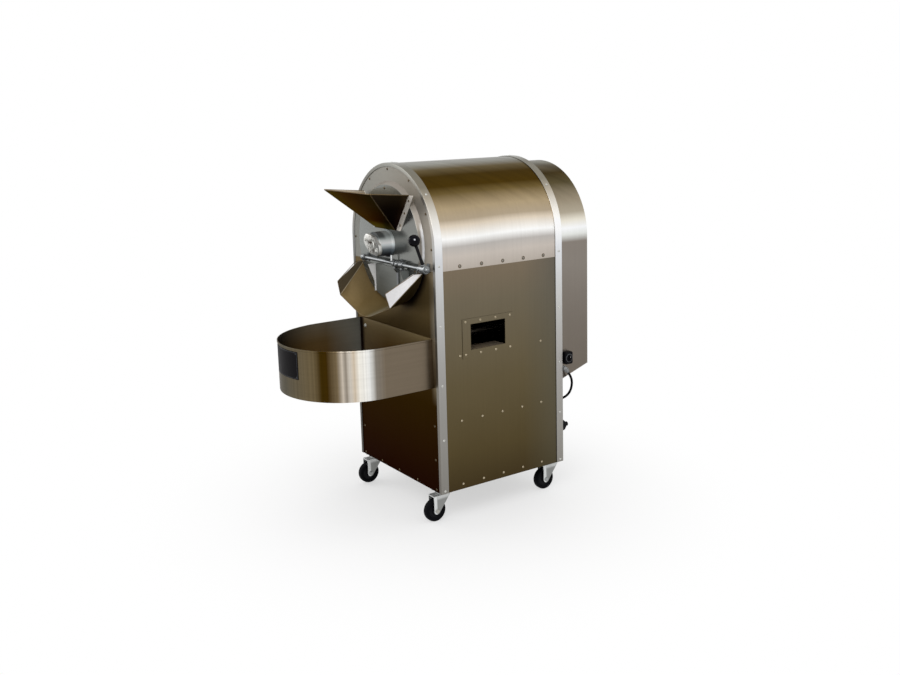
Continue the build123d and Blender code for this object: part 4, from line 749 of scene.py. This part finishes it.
# Short lead from the drive housing's gland round into the rear wall
LEAD = (
    (0.355, 0.5555, 0.557), (0.359, 0.5655, 0.541), (0.360, 0.5735, 0.521), (0.357, 0.5775, 0.497),
    (0.350, 0.5775, 0.472), (0.338, 0.5755, 0.450), (0.322, 0.5715, 0.433), (0.306, 0.5625, 0.421),
    (0.297, 0.5465, 0.416), (0.297, 0.5345, 0.416),
)
line = bpy.data.curves.new("power_lead_line", "CURVE")
line.dimensions = "3D"
line.bevel_depth = 0.0055
line.bevel_resolution = 5
line.resolution_u = 16
line.use_fill_caps = True
spline = line.splines.new("NURBS")
spline.points.add(len(LEAD) - 1)
for point, place in zip(spline.points, LEAD):
    point.co = (*place, 1.0)
spline.order_u = 3
spline.use_endpoint_u = True
line.materials.append(sheath)
lead = add("power_lead_sheath", line)
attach(lead, "cabinet")
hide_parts("power_lead")


# Trim bands with a rolled fold, over the arch from foot to foot

TRIM_SIDE_LEG = 0.039
TRIM_THICK = 0.003


def arch_line(arcs=72):
    """Points up one side, over the arch and down the other, each with its outward direction."""
    foot_to_spring = (BASE, (BASE + AXIS) / 2)
    out = [(X * HALF + Z * z, X) for z in foot_to_spring]
    for side, rise in arc(1.0, 0, 180, arcs):
        n = Vector((side, 0, rise))
        out.append((Z * AXIS + n * HALF, n))
    out += [(Z * z - X * HALF, -X) for z in reversed(foot_to_spring)]
    return out


def angle_strip(front_leg):
    """Section of a folded angle with eased edges, as (inward, back) pairs."""
    t = TRIM_THICK
    end = TRIM_SIDE_LEG
    bend = t * 0.9
    points = [(t * 0.2, end), (0, end - t * 0.2)]
    points += [(bend - px, bend - py) for px, py in arc(bend, 0, 90, 5)]
    points += [(front_leg - t * 0.2, 0), (front_leg, t * 0.2), (front_leg, t * 0.85)]
    points += [(front_leg - t * 0.15, t), (t * 1.5, t), (t * 1.1, t * 1.1)]
    points += [(t, t * 1.5), (t, end - t * 0.15), (t * 0.85, end)]
    return points


def trim(name, face_y, way, front_leg, node):
    """Angle swept along the arch from its face, to the back or to the front."""
    section = angle_strip(front_leg)[::way]
    rings = [
        [point - out * inward + Y * (face_y + way * deep) for inward, deep in section]
        for point, out in arch_line()
    ]
    piece(name, *skin(rings), "trim_silver", silver, 30, (node,))


trim("front_trim_fold", FRONT, 1, 0.017, "front_trim_band")
trim("rear_trim_fold", REAR, -1, 0.011, "rear_trim_band")


# Screws and bolts, each on the place of its solid

HEAD_R = 0.0052
HEAD_TALL = 0.0025
DOME = (
    (1.0, 0.0), (1.0, 0.3), (0.94, 0.58), (0.8, 0.8), (0.62, 0.93), (0.46, 0.98), (0.34, 1.0),
    (0.2, 1.0), (0.08, 1.0),
)
RECESS_REACH = 0.5  # shares of the head's radius and height
RECESS_HALF = 0.13
RECESS_DEEP = 0.55
BOLT_TALL = 0.004  # fasteners that stand out further than this have hex heads
BOLT_WASHER = 0.0012


def islands(node):
    """The separate solids of a node, as lists of points."""
    mesh = nodes[node].data
    key = [tuple(round(c, 6) for c in v.co) for v in mesh.vertices]
    group = {k: k for k in key}

    def top(k):
        while group[k] != k:
            group[k] = group[group[k]]
            k = group[k]
        return k

    for polygon in mesh.polygons:
        first = top(key[polygon.vertices[0]])
        for index in polygon.vertices[1:]:
            group[top(key[index])] = first
    found = {}
    for k in group:
        found.setdefault(top(k), []).append(Vector(k))
    return list(found.values())


def middle_of(points):
    return sum(points, Vector()) / len(points)


def cabinet_side(points):
    """The way that a cabinet screw faces: back, front or away from the arch's axis."""
    centre = middle_of(points)
    if centre.y > DRIVE_BACK:
        return Y
    if centre.y < FRONT_FACE:
        return -Y
    return Vector((centre.x, 0, max(centre.z - AXIS, 0))).normalized()


def foot_of(points, out):
    """Centre of a head's foot."""
    centre = middle_of(points)
    return centre + out * min((p - centre).dot(out) for p in points)


def pan_head(origin, out, turn):
    """Domed screw head with a cross recess."""
    sides = around(24, X, Y)
    ways = around(24, *axes_for(out), turn)
    rings = []
    for share, rise in DOME:
        ring = []
        for side, way in zip(sides, ways):
            cross = share < RECESS_REACH and share * min(abs(side.x), abs(side.y)) < RECESS_HALF
            tall = HEAD_TALL * (rise - (RECESS_DEEP if cross else 0))
            ring.append(origin + way * share * HEAD_R + out * tall)
        rings.append(ring)
    return skin(rings)


def washer(origin, out, inner, outer, thick):
    profile = [(inner, 0), (outer, 0), (outer, thick * 0.7), (outer - thick * 0.4, thick), (inner, thick)]
    return lathe(profile, origin, out, 24, closed=True)


bright = []
dull = []
rings = []
for index, points in enumerate(islands("cabinet_screws")):
    out = cabinet_side(points)
    origin = foot_of(points, out)
    heads = dull if out.y < -0.5 else bright
    heads.append(pan_head(origin, out, index * 0.7))
    # Dark rings round the heads on the cover's edge are painted shade.
    if out.x > 0.9 and origin.z > COVER_Z and origin.x < SKIN + 0.002:
        rings.append(washer(origin, out, 0.005, 0.0084, 0.0006))
piece("cabinet_screw_heads", *join(bright), "zinc", screw_steel, 40, ("cabinet_screws",))
piece("cover_screw_shade_rings", *join(rings), "zinc", dull_screw, 40)

bolts = []
for index, points in enumerate(islands("front_fasteners")):
    out = X if middle_of(points).x > SKIN else -Y
    origin = foot_of(points, out)
    if max((p - origin).dot(out) for p in points) > BOLT_TALL:
        bolts.append(washer(origin, out, 0.004, 0.0098, BOLT_WASHER))
        bolts.append(hexagon(0.0078, origin + out * BOLT_WASHER, out, 0.0052, index * 0.5))
    else:
        heads = bolts if out.x > 0.5 else dull
        heads.append(pan_head(origin, out, index * 0.9))
piece("front_bolt_heads", *join(bolts), "zinc", screw_steel, 40, ("front_fasteners",))
piece("front_screw_heads", *join(dull), "zinc", dull_screw, 40)

# Glands on the lead, each with its nut; the elbow's cap is ribbed
GLAND_NUT_R = 0.0122
lead_start = Vector(LEAD[0])
run = (Vector(LEAD[1]) - lead_start).normalized()
elbow = lead_start - run * 0.022
on_housing = Vector((DRIVE_R, elbow.y, elbow.z))
on_wall = Vector((LEAD[-1][0], REAR_FACE, LEAD[-1][2]))
stem = [(0.0, 0), (0.0125, 0), (0.0125, 0.002), (0.0095, 0.003), (0.0095, elbow.x - DRIVE_R)]
ribs = [(0.0, 0.011)]
for k in range(5):
    radius = 0.0104 - 0.0008 * k
    height = 0.0115 + 0.002 * k
    ribs += [(radius, height), (radius, height + 0.0012), (radius - 0.0016, height + 0.0015)]
ribs += [(0.0062, 0.0218), (0.0, 0.022)]
dome = [(0.0, 0.004), (0.0098, 0.004), (0.0098, 0.0055), (0.008, 0.0075), (0.0062, 0.008), (0.0, 0.008)]
glands = [
    lathe(stem, on_housing, X, 28),
    lathe(arc(0.011, -90, 90, 6), elbow, X, 28),
    hexagon(GLAND_NUT_R, elbow + run * 0.004, run, 0.008),
    lathe(ribs, elbow, run, 28),
    hexagon(GLAND_NUT_R, on_wall, Y, 0.0045),
    lathe(dome, on_wall, Y, 28),
]
piece("cable_gland_caps", *join(glands), "grey_plastic", gland_grey, 35, ("cable_glands",))


# Cooling tray: wall with a rolled rim and an inner lip

TRAY_HEM_SECTION = (
    (0, -0.0088), (0.0012, -0.008), (0.002, -0.0066), (0.002, -0.0016), (0.0014, -0.0005), (0.0004, 0),
    (-0.0006, 0), (-0.0015, -0.0005), (-0.002, -0.0016),
)
TRAY_FOOT_SECTION = (
    (-0.002, 0.002), (-0.014, 0.002), (-0.014, 0), (-0.0012, 0), (-0.0003, 0.0003), (0, 0.0012),
)


def tray_round(arcs=96):
    """Points round the tray from above, each with its outward and inward step."""
    out = [(X * TRAY_R + Y * FRONT_FACE, X, -X - Y)]
    for px, py in arc(1.0, 0, -180, arcs):
        n = Vector((px, py, 0))
        out.append((Y * TRAY_Y + n * TRAY_R, n, -n))
    out.append((Y * FRONT_FACE - X * TRAY_R, -X, X - Y))
    return out


section = [(step, TRAY_RIM + rise) for step, rise in TRAY_HEM_SECTION]
section += [(step, TRAY_LOW + rise) for step, rise in TRAY_FOOT_SECTION]
wall = [
    [place + (outward * step if step > 0 else inward * -step) + Z * z for step, z in section]
    for place, outward, inward in tray_round()
]
piece("tray_wall", *skin(wall, True), "stainless", tray_steel, 30, ("cooling_tray",))
seam = [place + inward * 0.0036 + Z * (TRAY_LOW + 0.0046) for place, outward, inward in tray_round()]
piece("tray_floor_seam", *tube(seam, 0.0014, 8, closed=True), "stainless", hem_steel)


# Blank plate on the tray's nose, with a thin border and four rivets

PLATE_BACK_R = 0.3063
PLATE_FACE_R = 0.3073
BORDER_BACK_R = 0.3072
BORDER_FACE_R = 0.3076
BORDER_START = 251.8
BORDER_STOP = 287.2
BORDER_LOW = plate_low.z + 0.0036
BORDER_HIGH = plate_high.z - 0.0036
BORDER_LINE = 0.001
BORDER_LINE_ANGLE = 0.2
RIVET = ((0.0026, 0), (0.0026, 0.0003), (0.0014, 0.0006), (0.0, 0.0007))


def nose(angle, radius, z):
    """Point about the tray's middle, by angle in degrees and radius."""
    a = radians(angle)
    return Vector((radius * cos(a), TRAY_Y + radius * sin(a), z))


def nose_plate(start, stop, low, high, steps=24, inner=BORDER_BACK_R, outer=BORDER_FACE_R):
    """Curved plate on the nose between two angles."""
    ease = min(0.0004, (outer - inner) / 2)
    rings = []
    for k in range(steps + 1):
        a = start + (stop - start) * k / steps
        rings.append([
            nose(a, inner, low), nose(a, outer - ease, low), nose(a, outer, low + ease),
            nose(a, outer, high - ease), nose(a, outer - ease, high), nose(a, inner, high),
        ])
    return skin(rings)


blank = nose_plate(251, 288, plate_low.z, plate_high.z, 24, PLATE_BACK_R, PLATE_FACE_R)
piece("nose_plate", *blank, "black_plastic", plate_black, 30, ("name_plate",))
border = [
    nose_plate(BORDER_START, BORDER_STOP, low, low + BORDER_LINE)
    for low in (BORDER_LOW, BORDER_HIGH - BORDER_LINE)
]
border += [
    nose_plate(start, start + BORDER_LINE_ANGLE, BORDER_LOW, BORDER_HIGH, 2)
    for start in (BORDER_START, BORDER_STOP - BORDER_LINE_ANGLE)
]
for angle in (BORDER_START + 1.1, BORDER_STOP - 1.1):
    for z in (BORDER_LOW + 0.0049, BORDER_HIGH - 0.0049):
        border.append(lathe(RIVET, nose(angle, BORDER_BACK_R, z), nose(angle, 1, z) - nose(angle, 0, z), 14))
piece("nose_plate_border", *join(border), "grey_plastic", grey_plastic)


# Hopper: folded top edge, welded corners

def both_sides(points):
    """A line of points and its mirror image across the middle."""
    return [[(side * x, y, z) for x, y, z in points] for side in (-1, 1)]


rim = [(-0.1903, -0.1712, 1.413), (-0.2028, -0.3615, 1.4306), (-0.199, -0.3655, 1.431)]
rim += [(-x, y, z) for x, y, z in reversed(rim)]
weld = [(0.08, -0.1795, 1.2575), (0.2025, -0.3645, 1.43)]
edges = [tube(rim, 0.0022, 10)] + [tube(points, 0.0016, 8) for points in both_sides(weld)]
piece("hopper_edges", *join(edges), "stainless", edge_steel)

# Chute: folded edges of the mouth and of the side lips
MOUTH_Y = -0.3005
mouth = [
    (-0.219, 0.95), (-0.15, 0.9253), (-0.086, 0.9024), (-0.08, 0.9005), (-0.06, 0.8932), (-0.04, 0.8878),
    (-0.02, 0.8848), (0, 0.884),
]
mouth += [(-x, z) for x, z in reversed(mouth[:-1])]
lip = [
    (0.219, -0.3008, 0.9505), (0.2113, -0.3152, 1.0105), (0.2119, -0.3148, 1.0146), (0.2505, -0.2004, 1.0862),
    (0.2513, -0.197, 1.0876), (0.2514, -0.156, 1.0872),
]
fold = [(0.2178, -0.299, 0.9515), (0.2494, -0.156, 1.0855)]
edges = [tube([(x, MOUTH_Y, z) for x, z in mouth], 0.0018, 8)]
edges += [tube(points, 0.0014, 8) for points in both_sides(lip)]
folds = [tube(points, 0.0018, 8) for points in both_sides(fold)]
piece("chute_edges", *join(edges), "stainless", edge_steel)
piece("chute_folds", *join(folds), "stainless", fold_steel)


# Front bearing: two-bolt oval cap with a turned boss, weld at the housing's foot

CAP_R = 0.04
CAP_LOBE_R = 0.03
CAP_LOBE_OFFSET = 0.04
CAP_TILT = radians(23)
WELD_R = 0.0564


def oval(big, small, offset, steps=18):
    """Outline of a round with a lobe at each side, joined by straight flanks."""
    lean = acos((big - small) / offset)
    points = []
    for centre, radius, start, stop in (
        (offset, small, -lean, lean), (0, big, lean, pi - lean),
        (-offset, small, pi - lean, pi + lean), (0, big, pi + lean, 2 * pi - lean),
    ):
        for k in range(steps):
            a = start + (stop - start) * k / steps
            points.append((centre + radius * cos(a), radius * sin(a)))
    return points


cap_foot = Vector((0, box("bearing_cap")[1].y, AXIS))
tilt = Matrix.Rotation(CAP_TILT, 3, "Y")
cap = []
for shrink, rise in ((0.0, 0.0), (0.0, 0.0128), (0.0008, 0.0142), (0.0024, 0.015)):
    outline = oval(CAP_R - shrink, CAP_LOBE_R - shrink, CAP_LOBE_OFFSET)
    cap.append([cap_foot - Y * rise + tilt @ Vector((px, 0, pz)) for px, pz in outline])
boss = [
    (0.025, 0.0148), (0.024, 0.0182), (0.0232, 0.019), (0.0196, 0.019), (0.0188, 0.0178),
    (0.0115, 0.0178), (0.0105, 0.019), (0.0, 0.019),
]
cap_parts = [skin(cap), lathe(boss, cap_foot, -Y, 48)]
piece("bearing_cap_oval", *join(cap_parts), "steel", cap_steel, 30, ("bearing_cap",))
weld_middle = Vector((0, DISC_FACE - 0.0072, AXIS))
weld = [weld_middle + way * WELD_R for way in around(56, X, Z)]
piece("bearing_foot_weld", *tube(weld, 0.0026, 10, closed=True), "grey_cast", housing_cast)


# Rod: collars and bushes beside its brackets, a cap nut at the lever

BUSH = ((0.0084, 0), (0.0128, 0), (0.0128, 0.0012), (0.0116, 0.002), (0.0084, 0.002))
COLLAR = (
    (0.0081, 0), (0.0118, 0), (0.013, 0.0012), (0.013, 0.0053), (0.0118, 0.0065), (0.0081, 0.0065),
)
BRACKET_HALF = 0.009


def rod_at(x):
    return Vector((x, ROD_Y, ROD_Z))


bushes = []
for x, ways in ((-0.178, (-1, 1)), (0.115, (-1, 1)), (0.2978, (-1,))):
    for way in ways:
        bushes.append(lathe(BUSH, rod_at(x + way * BRACKET_HALF), X * way, 28, closed=True))
    bushes.append(hexagon(0.005, rod_at(x) - Y * 0.0148, -Y, 0.004))
piece("bracket_bushes", *join(bushes), "zinc", galvanized)
collars = [lathe(COLLAR, rod_at(x), X, 28, closed=True) for x in (-0.196, 0.0735, 0.15)]
collars += [
    lathe([(0.0, 0), (0.016, 0), (0.016, 0.0014), (0.012, 0.0016)], rod_at(0.336), X, 28),
    hexagon(0.0124, rod_at(0.3373), X, 0.006),
    lathe([(0.0085, 0), (0.0085, 0.002), (0.0062, 0.0046), (0.0, 0.0056)], rod_at(0.3425), X, 24),
]
piece("rod_collars", *join(collars), "zinc", galvanized, body="door")

# Lever: turned boss and arm, ball on its end
BALL_R = 0.025
BALL_ALONG = 0.133
lean = radians(20)
along = Vector((0, -sin(lean), cos(lean)))
pivot = rod_at(LEVER_X)
boss = [(0.0081, 0), (0.0164, 0), (0.018, 0.0015), (0.018, 0.0265), (0.0164, 0.028), (0.0081, 0.028)]
boss_parts = [
    lathe(boss, rod_at(lever_low.x), X, 32, closed=True),
    hexagon(0.0108, pivot + along * 0.0165, along, 0.0075),
]
piece("lever_boss", *join(boss_parts), "zinc", galvanized, body="door")
arm = [
    (0.0, 0.022), (0.0074, 0.022), (0.0074, 0.031), (0.0069, 0.035), (0.0064, 0.098), (0.0072, 0.102),
    (0.0072, 0.1105), (0.0, 0.111),
]
piece("lever_rod", *lathe(arm, pivot, along, 24), "dark_steel", dark_steel, 35, ("lever_arm",), body="door")
ball = [(0.0, 0.1088), (0.0086, 0.1088), (0.0094, 0.1098)] + arc(BALL_R, -66, 90, 16, BALL_ALONG)
knob = lathe(ball, pivot, along, 40)
piece("lever_ball", *knob, "black_gloss", black_gloss, 40, ("lever_knob",), body="door")

# Switch: bezel on its box, knob with a grip and a pointer line
switch = joint_at["switch_turn"]
bezel = [
    (0.0162, -0.0004), (0.0198, -0.0004), (0.0198, 0.0006), (0.0188, 0.0016), (0.0168, 0.0016),
    (0.0162, 0.001),
]
piece("switch_bezel", *lathe(bezel, switch, X, 36, closed=True), "black_plastic", grey_plastic)
base = [(0.0, 0.0003), (0.015, 0.0003), (0.015, 0.0022), (0.0141, 0.0033), (0.0, 0.0033)]
grip = [
    [switch + Vector((rise, px * share, py * share)) for px, py in rounded(0.0105, 0.0282, 0.005)]
    for rise, share in ((0.003, 1.0), (0.0078, 0.96), (0.0088, 0.9), (0.0091, 0.8))
]
knob_parts = [lathe(base, switch, X, 36), skin(grip)]
piece("switch_grip", *join(knob_parts), "black_plastic", black_plastic, 35, ("switch_knob",), body="switch")
mark_foot = [switch + Vector((0.0089, px, py + 0.0065)) for px, py in rounded(0.0016, 0.007, 0.0007)]
mark_middle = middle_of(mark_foot)
mark = [
    mark_foot,
    [p + X * 0.0003 for p in mark_foot],
    [p + X * 0.0004 + (mark_middle - p).normalized() * 0.00014 for p in mark_foot],
]
piece("switch_pointer", *skin(mark), "grey_plastic", pointer_white, body="switch")

# Union at the gas inlet: collar, fluted nut, end ring
FLUTE = 0.05  # depth as a share of the radius
inlet = Vector(((union_low.x + union_high.x) / 2, REAR_FACE, (union_low.z + union_high.z) / 2))
nut = []
for radius, rise, depth in (
    (0.02, 0.0, 0), (0.0205, 0.005, 0), (0.0245, 0.0065, 0), (0.027, 0.009, FLUTE), (0.027, 0.042, FLUTE),
    (0.025, 0.045, 0), (0.0205, 0.0468, 0), (0.0195, 0.052, 0), (0.0125, 0.052, 0),
):
    ways = around(72, X, Z)
    ring = [inlet + Y * rise + way * radius * (1 if k % 3 else 1 - depth) for k, way in enumerate(ways)]
    nut.append(ring[::-1])
piece("gas_union_nut", *skin(nut), "black_plastic", black_plastic, 30, ("gas_union",))

# Window: rolled edge round the opening, shelf inside its foot
opening = Vector((0.3482, 0.1095, 0.804))
edge = [opening + Vector((0, px, py)) for px, py in rounded(0.186, 0.114, 0.003)]
piece("window_edge", *tube(edge, 0.0011, 8, closed=True), "stainless", side_brown_sheet)
shelf = [
    (0.343, 0.7455), (0.343, 0.7435), (0.262, 0.7415), (0.262, 0.7335), (0.2602, 0.7335), (0.2602, 0.7433),
    (0.262, 0.7437),
]
shelf_ends = [[(x, y, z) for x, z in shelf] for y in (0.012, 0.207)]
piece("window_shelf", *skin(shelf_ends), "stainless", shelf_steel)

# Casters: tyre, hub, ball race ring and plate bolts
RACE_R = 0.0262
RACE_Z = 0.1245
PLATE_UNDER = BASE - 0.004
half_tyre = [(0.0355, 0.0148), (0.0372, 0.016), (0.0455, 0.0158), (0.0484, 0.0128), (0.0497, 0.008)]
half_hub = [
    (0.0052, 0.018), (0.014, 0.018), (0.0156, 0.0168), (0.0172, 0.0092), (0.0325, 0.0086), (0.0358, 0.0146),
]
TYRE = [(r, -h) for r, h in half_tyre] + [(0.05, 0.0)] + half_tyre[::-1]
HUB = [(r, -h) for r, h in half_hub] + half_hub[::-1]
fittings = []
for corner in CORNERS:
    body = f"wheel_{corner}"
    axle = joint_at[f"roll_{corner}"]
    tyre = lathe(TYRE, axle, X, 56, closed=True)
    piece(f"tyre_{corner}", *tyre, "wheel_rubber", rubber, 40, (f"caster_wheel_{corner}",), body)
    hub = lathe(HUB, axle, X, 40, closed=True)
    piece(f"wheel_hub_{corner}", *hub, "wheel_rubber", hub_grey, 30, body=body)
    x, y = joint_at[f"swivel_{corner}"].xy
    race = [Vector((x, y, RACE_Z)) + way * RACE_R for way in around(40, X, Y)]
    fittings.append(tube(race, 0.004, 10, closed=True))
    for sx in (-1, 1):
        for sy in (-1, 1):
            spot = Vector((x + sx * 0.034, y + sy * 0.024, PLATE_UNDER))
            fittings.append(washer(spot, -Z, 0.004, 0.0082, BOLT_WASHER))
            fittings.append(hexagon(0.0064, spot - Z * BOLT_WASHER, -Z, 0.0042))
piece("caster_races", *join(fittings), "zinc", zinc)

# White floor that shows shadows near the object and glows further out
floor_mesh = bpy.data.meshes.new("floor")
floor_mesh.from_pydata([(-40, -40, 0), (40, -40, 0), (40, 40, 0), (-40, 40, 0)], [], [(0, 1, 2, 3)])
floor = add("floor", floor_mesh)
ground = Shade("floor_white", specular=0.1)
ground.put("Roughness", 0.9)
ground.shader.inputs["Base Color"].default_value = (0.9, 0.9, 0.9, 1)
reach = ground.node("VectorMath", {0: ground.place}, operation="LENGTH").outputs["Value"]
fade = ground.span(reach, 0.3, 1.5, 0.55, 1.0, True)
glow = ground.node("Emission", {"Strength": ground.seen()})
blend = ground.node("MixShader", {0: fade, 1: ground.shader.outputs[0], 2: glow.outputs[0]})
ground.feed(ground.tree.nodes["Material Output"].inputs["Surface"], blend.outputs[0])
floor_mesh.materials.append(ground.material)

# White surround and two soft lamps
world = bpy.data.worlds.new("studio")
world.use_nodes = True
bpy.context.scene.world = world
sky = Graph(world.node_tree)
surround = world.node_tree.nodes["Background"]
sky.feed(surround.inputs["Color"], (255, 255, 255))
sky.feed(surround.inputs["Strength"], sky.span(sky.seen(), 0, 1, 0.84, 1.0))


def lamp(name, place, target, size, power):
    data = bpy.data.lights.new(name, "AREA")
    data.shape = "SQUARE"
    data.size = size
    data.energy = power
    obj = add(name, data)
    obj.location = place
    obj.rotation_euler = (Vector(target) - Vector(place)).to_track_quat("-Z", "Y").to_euler()


lamp("key", (2.6, -2.8, 3.6), (0, 0, 0.8), 2.4, 60)
lamp("fill", (-3.0, -2.2, 2.6), (0, 0, 0.9), 2.4, 30)
bpy.context.scene.view_settings.view_transform = "Standard"
